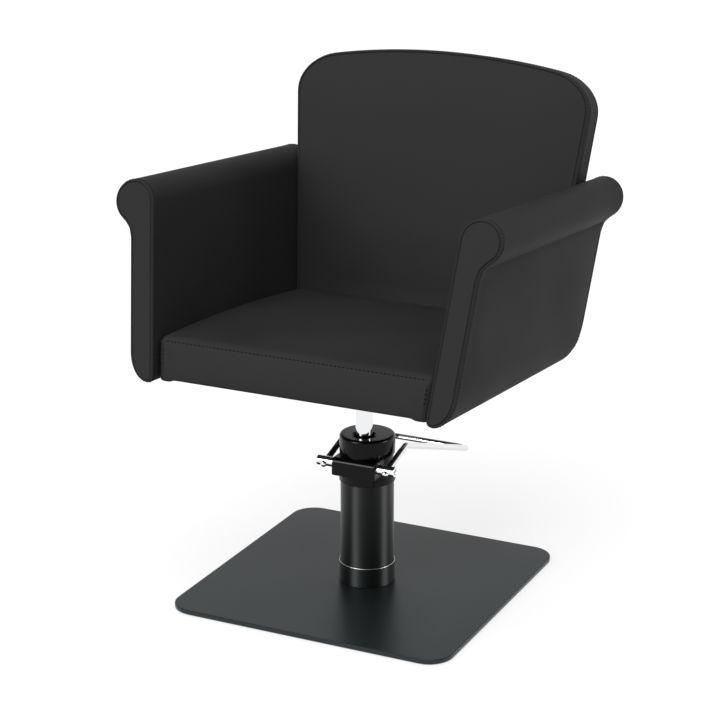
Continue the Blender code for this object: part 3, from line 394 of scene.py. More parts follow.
def speckle_group():
    """Fine pimples of sprayed paint, and a slow change over the surface."""
    if "paint_speckle" in bpy.data.node_groups:
        return bpy.data.node_groups["paint_speckle"]
    scales = {"Scale": 700.0, "Patch Scale": 6.0}
    tree, given, result = new_group("paint_speckle", scales, ("Height", "Patch"))
    link = tree.links.new
    place = node(tree, "ShaderNodeTexCoord")
    fine = node(tree, "ShaderNodeTexNoise", {"Detail": 2.0, "Roughness": 0.55})
    patch = node(tree, "ShaderNodeTexNoise", {"Detail": 3.0, "Roughness": 0.5})
    for texture, key in ((fine, "Scale"), (patch, "Patch Scale")):
        link(place.outputs["Object"], texture.inputs["Vector"])
        link(given.outputs[key], texture.inputs["Scale"])
    link(fine.outputs["Fac"], result.inputs["Height"])
    link(patch.outputs["Fac"], result.inputs["Patch"])
    return tree


def seen_directly(tree):
    """One for rays from the camera, and for what it sees in mirrors and through glass."""
    path = node(tree, "ShaderNodeLightPath")
    seen = path.outputs["Is Camera Ray"]
    for key in ("Is Glossy Ray", "Is Transmission Ray"):
        seen = combine(tree, "MAXIMUM", seen, path.outputs[key])
    return seen


def new_material(name):
    """An empty Principled material: the material, its tree and its shader."""
    made = bpy.data.materials.new(name)
    made.use_nodes = True
    tree = made.node_tree
    return made, tree, tree.nodes["Principled BSDF"]


def ramp(tree, factor, low, high):
    """Colours from low to high along a noise."""
    made = node(tree, "ShaderNodeValToRGB")
    for element, place, shade in zip(made.color_ramp.elements, NOISE_ENDS, (low, high)):
        element.position = place
        element.color = (*shade, 1.0)
    tree.links.new(factor, made.inputs["Fac"])
    return made.outputs["Color"]


def spread(tree, factor, low, high, ends=NOISE_ENDS):
    """Numbers from low to high along a factor that runs between two ends."""
    values = {"From Min": ends[0], "From Max": ends[1], "To Min": low, "To Max": high}
    made = node(tree, "ShaderNodeMapRange", values)
    tree.links.new(factor, made.inputs["Value"])
    return made.outputs["Result"]


def surface(name, group, shade, roughness, scales, relief=0.0, vary=0.12, **plain):
    """A finish whose colour, roughness and relief follow a shared grain group."""
    name = f"{name}_finish"
    if name in bpy.data.materials:
        return bpy.data.materials[name]
    made, tree, shader = new_material(name)
    link = tree.links.new
    grain = node(tree, "ShaderNodeGroup", node_tree=group)
    grain.inputs["Scale"].default_value, grain.inputs["Patch Scale"].default_value = scales
    patch = grain.outputs["Patch"]
    shade = Vector(shade)
    link(ramp(tree, patch, shade * (1 - vary), shade * (1 + vary)), shader.inputs["Base Color"])
    link(spread(tree, patch, *roughness), shader.inputs["Roughness"])
    if relief:
        bump = node(tree, "ShaderNodeBump", {"Strength": 0.35, "Distance": relief})
        link(grain.outputs["Height"], bump.inputs["Height"])
        link(bump.outputs["Normal"], shader.inputs["Normal"])
    for key, value in plain.items():
        shader.inputs[key.replace("_", " ")].default_value = value
    return made


def drawn(made):
    """Let a finish shine in streaks along Z, like a drawn tube."""
    tree = made.node_tree
    shader = next(item for item in tree.nodes if item.type == "BSDF_PRINCIPLED")
    if not shader.inputs["Tangent"].is_linked:
        along = node(tree, "ShaderNodeCombineXYZ", {"Z": 1.0})
        tree.links.new(along.outputs["Vector"], shader.inputs["Tangent"])


def plywood(shade):
    """Stained plywood: fine fibres over broad growth bands."""
    if "plywood_finish" in bpy.data.materials:
        return bpy.data.materials["plywood_finish"]
    made, tree, shader = new_material("plywood_finish")
    link = tree.links.new
    place = node(tree, "ShaderNodeTexCoord")
    stretch = node(tree, "ShaderNodeMapping", {"Scale": (1.0, 0.08, 1.0)})
    bands = node(tree, "ShaderNodeTexNoise", {"Scale": 45.0, "Detail": 5.0, "Distortion": 0.6})
    link(place.outputs["Object"], stretch.inputs["Vector"])
    link(stretch.outputs["Vector"], bands.inputs["Vector"])
    shade = Vector(shade)
    link(ramp(tree, bands.outputs["Fac"], shade * 0.7, shade * 1.15), shader.inputs["Base Color"])
    link(spread(tree, bands.outputs["Fac"], 0.6, 0.8), shader.inputs["Roughness"])
    return made


def finishes(colours):
    """All finishes of the chair by name, made once."""
    pebble = pebble_group()
    speckle = speckle_group()
    kinds = {
        "leatherette": dict(group=pebble, shade=colours.leather, roughness=(0.60, 0.68), scales=(1100.0, 7.0),
                            relief=0.0004, vary=0.08, Specular_IOR_Level=0.09),
        "thread": dict(group=pebble, shade=colours.thread, roughness=(0.6, 0.75), scales=(3000.0, 40.0),
                       relief=0.0002, Specular_IOR_Level=0.06),
        "powder_coat": dict(group=speckle, shade=colours.plate, roughness=(0.30, 0.36), scales=(900.0, 5.0),
                            relief=0.0002, vary=0.10, Specular_IOR_Level=0.45,
                            Specular_Tint=(*colours.plate_sheen, 1.0)),
        "pump_paint": dict(group=speckle, shade=colours.paint, roughness=(0.40, 0.46), scales=(800.0, 9.0),
                           relief=0.0001, Specular_IOR_Level=0.42, Anisotropic=0.9,
                           Specular_Tint=(*colours.pump_sheen, 1.0)),
        "gloss_black": dict(group=speckle, shade=colours.gloss, roughness=(0.15, 0.20), scales=(300.0, 12.0),
                            relief=0.00005, Specular_IOR_Level=0.13),
        "chrome": dict(group=speckle, shade=colours.chrome, roughness=(0.05, 0.09), scales=(500.0, 14.0),
                       vary=0.02, Metallic=1.0),
        "zinc_steel": dict(group=speckle, shade=colours.zinc, roughness=(0.28, 0.42), scales=(900.0, 30.0),
                           relief=0.0001, Metallic=1.0),
        "bronze": dict(group=speckle, shade=colours.bronze, roughness=(0.3, 0.4), scales=(900.0, 30.0),
                       relief=0.0001, Metallic=1.0),
        "black_rubber": dict(group=pebble, shade=colours.rubber, roughness=(0.75, 0.9), scales=(600.0, 15.0),
                             relief=0.0003),
    }
    looks = {name: surface(name, **kind) for name, kind in kinds.items()}
    drawn(looks["pump_paint"])
    looks["plywood"] = plywood(colours.wood)
    return looks


# Mesh helpers

def object_from(bm, name, finish):
    """A smooth-shaded object of a bmesh, its faces turned outwards."""
    bm.normal_update()
    bmesh.ops.recalc_face_normals(bm, faces=bm.faces[:])
    mesh = bpy.data.meshes.new(name)
    bm.to_mesh(mesh)
    bm.free()
    mesh.shade_smooth()
    mesh.materials.append(finish)
    made = bpy.data.objects.new(name, mesh)
    bpy.context.scene.collection.objects.link(made)
    return made


def piece_from(bm, name, finish, crease=40.0):
    """Close a bmesh into an object that is sharp where its faces meet at a crease, in degrees."""
    bmesh.ops.remove_doubles(bm, verts=bm.verts[:], dist=SAME)
    made = object_from(bm, name, finish)
    if not made.data.polygons:
        raise RuntimeError(f"{name} has no faces")
    made.data.set_sharp_from_angle(angle=math.radians(crease))
    return made


def even_shading(made):
    """Let the large faces of a piece decide how its edges are shaded."""
    made.modifiers.new("even_normals", "WEIGHTED_NORMAL").keep_sharp = True
    return made


def carved_shading(made):
    """Shade a carved piece anew, its cut edges sharp."""
    made.data.shade_smooth()
    made.data.set_sharp_from_angle(angle=math.radians(CARVED_ANGLE))
    return even_shading(made)


def keep(made, body, slot, *nodes):
    """Let a piece ride on a body in place of CAD nodes; the slot is not used."""
    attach(made, body)
    if nodes:
        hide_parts(*nodes)


def bevel(bm, edges, radius, segments):
    """Round edges off."""
    bmesh.ops.bevel(bm, geom=edges, offset=radius, segments=segments, profile=0.5, affect="EDGES",
                    material=-1)


def edges_along(bm, axis):
    """Edges that run along an axis."""
    others = [index for index in range(3) if index != axis]
    return [edge for edge in bm.edges
            if all(abs(edge.verts[0].co[index] - edge.verts[1].co[index]) < SAME for index in others)]


def edges_at(bm, axis, place):
    """Edges that lie in a plane square to an axis."""
    return [edge for edge in bm.edges if all(abs(vert.co[axis] - place) < SAME for vert in edge.verts)]


def box_mesh(low, high):
    """A box between two corners."""
    low = Vector(low)
    size = Vector(high) - low
    bm = bmesh.new()
    matrix = Matrix.Translation(low + size / 2) @ Matrix.Diagonal((*size, 1.0))
    bmesh.ops.create_cube(bm, size=1.0, matrix=matrix)
    return bm


def bar_profile(radius, low, high):
    """Profile of a plain round bar."""
    return (0, low), (radius, low), (radius, high), (0, high)


def ring_profile(outer, wall, low, high):
    """Profile of a plain ring."""
    inner = outer - wall
    return (outer, low), (outer, high), (inner, high), (inner, low)


def both_ends(*points):
    """Profile of a body with two like ends, from the points of its upper half, outside first."""
    return (*((radius, -height) for radius, height in points), *reversed(points))


def turned(profile, eased=0.0, centre=(0.0, 0.0), around=2 * math.pi, start=0.0):
    """Spin a profile of (radius, height) points about an upright axis and ease its edges."""
    bm = bmesh.new()
    heading = Vector((math.cos(start), math.sin(start), 0.0))
    verts = [bm.verts.new(heading * radius + Vector((0, 0, height))) for radius, height in profile]
    edges = [bm.edges.new(pair) for pair in zip(verts, verts[1:])]
    if profile[0][0] > 0.0:
        edges.append(bm.edges.new((verts[-1], verts[0])))
    whole = around > 2 * math.pi - SAME
    bmesh.ops.spin(bm, geom=verts + edges, cent=(0, 0, 0), axis=(0, 0, 1), angle=around, steps=TURN_STEPS,
                   use_merge=whole)
    bmesh.ops.remove_doubles(bm, verts=bm.verts[:], dist=SAME)
    if not whole:
        bmesh.ops.holes_fill(bm, edges=[edge for edge in bm.edges if edge.is_boundary], sides=0)
    bmesh.ops.recalc_face_normals(bm, faces=bm.faces[:])
    if eased:
        sharp = [edge for edge in bm.edges if edge.calc_face_angle(0.0) > math.radians(EASED_ANGLE)]
        bevel(bm, sharp, eased, EDGE_STEPS)
    bmesh.ops.translate(bm, verts=bm.verts[:], vec=(*centre, 0.0))
    return bm


def laid_along_x(bm, place):
    """Lay a turned body down along X, with its middle at a place."""
    matrix = Matrix.Translation(place) @ Matrix.Rotation(math.pi / 2, 4, "Y")
    bmesh.ops.transform(bm, matrix=matrix, verts=bm.verts[:])
    return bm


def bake(made):
    """Put the mesh that the modifiers make in place of an object's own."""
    bpy.context.view_layer.update()
    graph = bpy.context.evaluated_depsgraph_get()
    old = made.data
    mesh = bpy.data.meshes.new_from_object(made.evaluated_get(graph))
    made.modifiers.clear()
    made.data = mesh
    mesh.name = old.name
    bpy.data.meshes.remove(old)


def carve(made, bm, operation="DIFFERENCE"):
    """Cut a bmesh out of a piece, or join it to the piece."""
    tool = piece_from(bm, made.name + "_tool", made.data.materials[0])
    step = made.modifiers.new("carve", "BOOLEAN")
    step.operation = operation
    step.solver = "EXACT"
    step.object = tool
    bake(made)
    bpy.data.objects.remove(tool)


def arc(centre, radius, start, end, steps, squash=1.0):
    """Points of an arc, angles in radians; squash scales the second axis."""
    points = []
    for step in range(steps + 1):
        angle = start + (end - start) * step / steps
        height = radius * squash * math.sin(angle)
        points.append((centre[0] + radius * math.cos(angle), centre[1] + height))
    return points


# Upholstery helpers: a piece is cut out in a square pattern, then bent to its form

def net(low, high, pitch=PITCH):
    """Evenly spaced places between two bounds, the bounds left out."""
    count = max(1, round((high - low) / pitch))
    return [low + (high - low) * step / count for step in range(1, count)]


def mirrored(*places):
    """Places on both sides of nought."""
    return [sign * place for place in places for sign in (-1, 1)]


def slice_at(bm, axis, places):
    """Cut the faces along planes square to an axis."""
    normal = Vector((0.0, 0.0, 0.0))
    normal[axis] = 1.0
    for place in sorted(places):
        everything = bm.verts[:] + bm.edges[:] + bm.faces[:]
        bmesh.ops.bisect_plane(bm, geom=everything, dist=SAME, plane_co=normal * place, plane_no=normal)


def round_corner(across, along):
    """Bend the square corner of a net to a quarter circle; both distances count from the circle's centre."""
    inside = (across > 0) & (along > 0)
    reach = np.maximum(across, along)
    share = np.where(inside, reach / np.maximum(np.hypot(across, along), SAME), 1.0)
    return across * share, along * share


def at(values, place):
    """Which values lie at a place."""
    return np.abs(values - place) < SAME


def ease_in(low, high, values):
    """Soft step from nought at low to one at high."""
    part = np.clip((values - low) / (high - low), 0.0, 1.0)
    return part * part * (3 - 2 * part)


def tilted(seat, points):
    """Points of the seat's tilted frame in the chair's frame."""
    matrix = np.array(Matrix.Translation(SWIVEL) @ Matrix.Rotation(-seat.tilt, 4, "X"))
    return points @ matrix[:3, :3].T + matrix[:3, 3]


def pattern_of(bm):
    """Places of all vertices in the square pattern."""
    bmesh.ops.remove_doubles(bm, verts=bm.verts[:], dist=SAME)
    bm.verts.index_update()
    return np.array([vert.co[:] for vert in bm.verts])


def run_along(points):
    """Way from the first of some points to each of them."""
    return np.concatenate(([0.0], np.cumsum(np.linalg.norm(np.diff(points, axis=0), axis=1))))


def places_of(mesh):
    """Places of a mesh's vertices."""
    values = np.empty(len(mesh.vertices) * 3)
    mesh.vertices.foreach_get("co", values)
    return values.reshape(-1, 3)


def normals_of(mesh):
    """Normals of a mesh's vertices."""
    values = np.empty(len(mesh.vertices) * 3)
    mesh.vertex_normals.foreach_get("vector", values)
    return values.reshape(-1, 3)


def set_places(mesh, places):
    """Move a mesh's vertices."""
    mesh.vertices.foreach_set("co", places.ravel())
    mesh.update()


def swell(made, free, most):
    """Fill a cover like cloth under pressure, held everywhere but where it is free, and keep its shape."""
    scene = bpy.context.scene
    held = made.vertex_groups.new(name="held")
    held.add([int(index) for index in np.nonzero(~free)[0]], 1.0, "REPLACE")
    cloth = made.modifiers.new("cover", "CLOTH")
    cloth.settings.quality = CLOTH_QUALITY
    cloth.settings.use_pressure = True
    cloth.settings.uniform_pressure_force = CLOTH_PRESSURE
    cloth.settings.effector_weights.gravity = 0.0
    cloth.settings.vertex_group_mass = held.name
    cloth.collision_settings.use_collision = False
    cloth.point_cache.frame_start = 1
    cloth.point_cache.frame_end = CLOTH_FRAMES
    for step in range(1, CLOTH_FRAMES + 1):
        scene.frame_set(step)
    before = places_of(made.data)
    filled = made.evaluated_get(bpy.context.evaluated_depsgraph_get())
    move = places_of(filled.to_mesh()) - before
    filled.to_mesh_clear()
    made.modifiers.clear()
    made.vertex_groups.clear()
    scene.frame_set(1)
    far = np.linalg.norm(move, axis=1, keepdims=True)
    move *= most * np.tanh(far / most) / np.maximum(far, SAME)
    set_places(made.data, before + move)


def press(made, lines, rows, lips, sewing):
    """Draw seams and rows of stitches in and let the cover stand up beside them."""
    mesh = made.data
    move = np.zeros(len(mesh.vertices))
    move[lips] = sewing.lip
    move[lines] = -sewing.depth
    move[rows] = -sewing.row_depth
    set_places(mesh, places_of(mesh) + normals_of(mesh) * move[:, None])
    ends = np.empty(len(mesh.edges) * 2, dtype=np.int32)
    mesh.edges.foreach_get("vertices", ends)
    sharp = mesh.attributes.new("crease_edge", "FLOAT", "EDGE")
    sharp.data.foreach_set("value", np.all(lines[ends.reshape(-1, 2)], axis=1).astype(np.float32))


def chain(mesh, flags):
    """Marked vertices in their order along the edges that join them."""
    beside = {}
    for edge in mesh.edges:
        first, last = edge.vertices
        if flags[first] and flags[last]:
            beside.setdefault(first, []).append(last)
            beside.setdefault(last, []).append(first)
    if not beside:
        raise RuntimeError(f"no stitch line on {mesh.name}")
    ends = [vert for vert, others in beside.items() if len(others) == 1]
    route = [min(ends) if ends else min(beside)]
    seen = set(route)
    while True:
        ahead = [vert for vert in beside[route[-1]] if vert not in seen]
        if not ahead:
            break
        route.append(ahead[0])
        seen.add(ahead[0])
    return route


def sew(made, rows, finish, sewing, name, pitch):
    """Stitches along rows of a piece's vertices, as one object that rides with the piece."""
    places = places_of(made.data)
    normals = normals_of(made.data)
    stitch = pitch * sewing.stitch
    spots = []
    for row in rows:
        points = places[row]
        run = run_along(points)
        for along in np.arange(pitch, run[-1] - pitch / 2, pitch):
            ends = [Vector([np.interp(along + reach, run, points[:, axis]) for axis in range(3)])
                    for reach in (-stitch / 2, stitch / 2)]
            up = Vector([np.interp(along, run, normals[row][:, axis]) for axis in range(3)]).normalized()
            ahead = (ends[1] - ends[0]).normalized()
            side = up.cross(ahead).normalized()
            turned_to = Matrix((side, ahead.cross(side), ahead)).transposed().to_4x4()
            spots.append(Matrix.Translation((ends[0] + ends[1]) / 2 + up * sewing.rise) @ turned_to)
    size = Matrix.Diagonal((sewing.thread / 2, sewing.thread / 2, stitch / 2, 1.0))
    whole = bmesh.new()
    batch = bpy.data.meshes.new("stitch_batch")
    for start in range(0, len(spots), STITCH_BATCH):
        bm = bmesh.new()
        for spot in spots[start:start + STITCH_BATCH]:
            bmesh.ops.create_uvsphere(bm, u_segments=STITCH_SIDES, v_segments=STITCH_ROWS, radius=1.0,
                                      matrix=spot @ size)
        bm.to_mesh(batch)
        bm.free()
        whole.from_mesh(batch)
    bpy.data.meshes.remove(batch)
    stitches = piece_from(whole, name, finish, crease=180.0)
    keep(stitches, "seat", "leatherette")


def cover(bm, places, name, finish):
    """Bend a pattern to its form and make it a piece."""
    for vert, place in zip(bm.verts, places):
        vert.co = place
    return object_from(bm, name, finish)


def smooth_once(made):
    """One step of subdivision, the same in view and render."""
    step = made.modifiers.new("smooth", "SUBSURF")
    step.levels = 1
    step.render_levels = 1


def pad_block(low, high, rims, cuts):
    """A box with eased rims, cut into a net of small faces."""
    bm = box_mesh(low, high)
    for axis, place, radius, segments in rims:
        bevel(bm, edges_at(bm, axis, place), radius, segments)
    for axis, places in enumerate(cuts):
        slice_at(bm, axis, places)
    return bm


# Metal pieces

class CHAIR_OT_base(Operator):
    """Square plate with round corners and an eased rim, and the collar that holds the pump"""

    bl_idname = "chair.base"
    bl_label = "Base plate and collar"

    def execute(self, context):
        chair = context.scene.chair
        metal = chair.metal
        looks = finishes(chair.colours)
        low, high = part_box("base_plate")
        bm = box_mesh(low, high)
        bevel(bm, edges_along(bm, 2), metal.plate_corner, CORNER_STEPS)
        for place in (low.z, high.z):
            bevel(bm, edges_at(bm, 2, place), metal.plate_edge, EDGE_STEPS)
        plate = even_shading(piece_from(bm, "plate_painted", looks["powder_coat"]))
        keep(plate, "base", "powder_coat", "base_plate")

        low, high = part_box("base_socket")
        radius = high.x
        bore = radius - metal.collar_wall
        floor = low.z + metal.collar_floor
        cup = ((0, low.z), (radius, low.z), (radius, high.z), (bore, high.z), (bore, floor), (0, floor))
        bm = turned(cup, metal.collar_edge)
        collar = even_shading(piece_from(bm, "collar_painted", looks["pump_paint"]))
        collar.data.materials.append(looks["zinc_steel"])
        for face in collar.data.polygons:
            outside = face.center.xy.length > radius - metal.collar_edge
            bare = outside and face.center.z > high.z - metal.collar_edge
            face.material_index = 1 if bare else 0
        keep(collar, "base", "powder_coat", "base_socket")
        return {"FINISHED"}


class CHAIR_OT_pump(Operator):
    """Tube, split clamp ring, head with its front block, cap and wiper seal of the pump"""

    bl_idname = "chair.pump"
    bl_label = "Pump"

    def execute(self, context):
        chair = context.scene.chair
        metal = chair.metal
        looks = finishes(chair.colours)
        low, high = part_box("pump_cylinder")
        bm = turned(ring_profile(high.x, metal.tube_wall, low.z, high.z), metal.tube_edge)
        tube = even_shading(piece_from(bm, "tube_painted", looks["pump_paint"]))
        keep(tube, "base", "powder_coat", "pump_cylinder")

        low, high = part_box("clamp_ring")
        open_by = metal.slit_width / high.x
        bm = turned(ring_profile(high.x, metal.clamp_wall, low.z, high.z), metal.clamp_edge,
                    around=2 * math.pi - open_by, start=metal.slit + open_by / 2)
        clamp = even_shading(piece_from(bm, "clamp_gloss", looks["gloss_black"]))
        keep(clamp, "base", "gloss_black", "clamp_ring")

        self.head(metal, looks)
        self.cap(metal, looks)
        return {"FINISHED"}

    def head(self, metal, looks):
        """Round body joined to the square front block, with bores for ram and axle."""
        low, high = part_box("pump_head")
        radius = metal.head
        profile = ((0, low.z), (radius - metal.head_edge, low.z), (radius, low.z + metal.head_edge),
                   (radius, high.z), (0, high.z))
        head = piece_from(turned(profile), "head_gloss", looks["gloss_black"])
        half = metal.block / 2
        foot = low.z + ROOM / 2
        top = high.z - ROOM / 2
        bm = box_mesh((-half, low.y, foot), (half, HINGE.y + metal.block_tail, top))
        front = [edge for edge in edges_at(bm, 1, low.y) if edge in set(edges_at(bm, 2, top))]
        bevel(bm, front, metal.block_round, CORNER_STEPS)
        sides = [edge for place in (-half, half) for edge in edges_at(bm, 0, place)]
        bevel(bm, sides, metal.block_side, EDGE_STEPS)
        carve(head, bm, "UNION")
        through = bar_profile(metal.bush + ROOM, low.z - ROOM, high.z + ROOM)
        carve(head, turned(through, centre=RAM_AXIS))
        wide = metal.axle_bush + ROOM
        reach = half + ROOM
        step = half - metal.axle_bush_depth
        bore = both_ends((0, reach), (wide, reach), (wide, step), (metal.axle + ROOM, step))
        carve(head, laid_along_x(turned(bore), HINGE))
        carve(head, box_mesh((metal.finger_x - metal.finger, HINGE.y, low.z + metal.finger_floor),
                             (metal.finger_x + metal.finger, HINGE.y + metal.finger_reach,
                              HINGE.z + metal.finger)))
        keep(carved_shading(head), "base", "gloss_black", "pump_head")

    def cap(self, metal, looks):
        """Round cover with a soft edge and a mouth round the ram, and the seal in it."""
        low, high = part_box("pump_cap")
        edge = metal.cap_edge
        profile = [(0, low.z), (high.x, low.z)]
        profile += arc((high.x - edge, high.z - edge), edge, 0, math.pi / 2, CORNER_STEPS)
        profile += [(high.x - edge * CAP_FLAT, high.z), (0, high.z)]
        cap = piece_from(turned(profile), "cap_gloss", looks["gloss_black"])
        lip = metal.bush + ROOM
        mouth = ((0, low.z - ROOM), (lip, low.z - ROOM), (lip, high.z - metal.cap_mouth),
                 (lip + metal.cap_mouth, high.z + ROOM), (0, high.z + ROOM))
        carve(cap, turned(mouth, centre=RAM_AXIS))
        keep(carved_shading(cap), "base", "gloss_black", "pump_cap")

        low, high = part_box("wiper_seal")
        bore = metal.rod + ROOM
        third = (high.z - low.z) / 3
        profile = ((metal.bush, low.z), (metal.bush, high.z - third), (bore + third / 2, high.z),
                   (bore, high.z), (bore, low.z))
        bm = turned(profile, metal.seal_edge, RAM_AXIS)
        seal = piece_from(bm, "seal_rubber", looks["black_rubber"])
        keep(even_shading(seal), "base", "black_rubber", "wiper_seal")


class CHAIR_OT_ram(Operator):
    """Chrome ram with an eased top"""

    bl_idname = "chair.ram"
    bl_label = "Ram"

    def execute(self, context):
        chair = context.scene.chair
        metal = chair.metal
        looks = finishes(chair.colours)
        low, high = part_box("piston_rod")
        bm = turned(bar_profile(metal.rod, low.z, high.z), metal.rod_edge, RAM_AXIS)
        rod = piece_from(bm, "ram_chrome", looks["chrome"])
        keep(even_shading(rod), "seat", "chrome", "piston_rod")
        return {"FINISHED"}


class CHAIR_OT_lever(Operator):
    """Cross axle and the bent chrome lever with its foot bar"""

    bl_idname = "chair.lever"
    bl_label = "Pedal lever"

    def execute(self, context):
        chair = context.scene.chair
        metal = chair.metal
        looks = finishes(chair.colours)
        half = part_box("lever_axle")[1].x
        bore = metal.spread / 2
        profile = both_ends((0, bore), (metal.grub, bore), (metal.grub, half), (metal.axle, half))
        bm = laid_along_x(turned(profile, metal.axle_edge), HINGE)
        axle = even_shading(piece_from(bm, "axle_chrome", looks["chrome"]))
        keep(axle, "lever", "chrome", "lever_axle")

        lever = self.bent_rod("lever_chrome", self.route(metal), metal.lever, looks["chrome"])
        keep(lever, "lever", "chrome", "pedal_lever")
        return {"FINISHED"}

    def route(self, metal):
        """Middle line of the lever: over the axle, up, down and across the foot bar."""
        up = Vector((0, math.cos(metal.rise), math.sin(metal.rise)))
        down = Vector((0, math.cos(metal.fall), -math.sin(metal.fall)))
        reach = Vector((metal.spread / 2, 0, 0))
        foot_reach = Vector((metal.foot_spread / 2, 0, 0))
        stub = HINGE - up * metal.stub
        knee = HINGE + up * metal.rise_length
        foot = knee + down * metal.fall_length
        corners = [stub + reach, knee + reach, foot + foot_reach]
        corners += [foot - foot_reach, knee - reach, stub - reach]
        points = [corners[0]]
        radii = (metal.knee, metal.bend, metal.bend, metal.knee)
        for before, corner, after, radius in zip(corners, corners[1:], corners[2:], radii):
            inward = (before - corner).normalized()
            outward = (after - corner).normalized()
            half = inward.angle(outward) / 2
            centre = corner + (inward + outward).normalized() * (radius / math.sin(half))
            first = (corner + inward * (radius / math.tan(half)) - centre).normalized()
            last = (corner + outward * (radius / math.tan(half)) - centre).normalized()
            for step in range(CORNER_STEPS + 1):
                points.append(centre + first.slerp(last, step / CORNER_STEPS) * radius)
        return points + [corners[-1]]

    def bent_rod(self, name, points, radius, finish):
        """A round rod along a route, with domed ends."""
        dome = radius * DOME_SHARE
        angles = [math.pi / 2 * (step + 0.5) / DOME_STEPS for step in range(DOME_STEPS)]
        depths = [dome * (1 - math.cos(angle)) for angle in angles]
        ends = [math.sin(angle) for angle in angles]
        first = (points[1] - points[0]).normalized()
        last = (points[-2] - points[-1]).normalized()
        route = [points[0] + first * depth for depth in depths] + points[1:-1]
        route += [points[-1] + last * depth for depth in reversed(depths)]
        widths = ends + [1.0] * (len(points) - 2) + ends[::-1]
        curve = bpy.data.curves.new(name, "CURVE")
        curve.dimensions = "3D"
        curve.bevel_depth = radius
        curve.bevel_resolution = ROD_STEPS
        curve.use_fill_caps = True
        spline = curve.splines.new("POLY")
        spline.points.add(len(route) - 1)
        for knot, point, width in zip(spline.points, route, widths):
            knot.co = (*point, 1.0)
            knot.radius = width
        wire = bpy.data.objects.new(name + "_route", curve)
        bpy.context.scene.collection.objects.link(wire)
        bpy.context.view_layer.update()
        graph = bpy.context.evaluated_depsgraph_get()
        mesh = bpy.data.meshes.new_from_object(wire.evaluated_get(graph))
        bm = bmesh.new()
        bm.from_mesh(mesh)
        bpy.data.objects.remove(wire)
        bpy.data.meshes.remove(mesh)
        bpy.data.curves.remove(curve)
        return piece_from(bm, name, finish, crease=60.0)


# Upholstery pieces

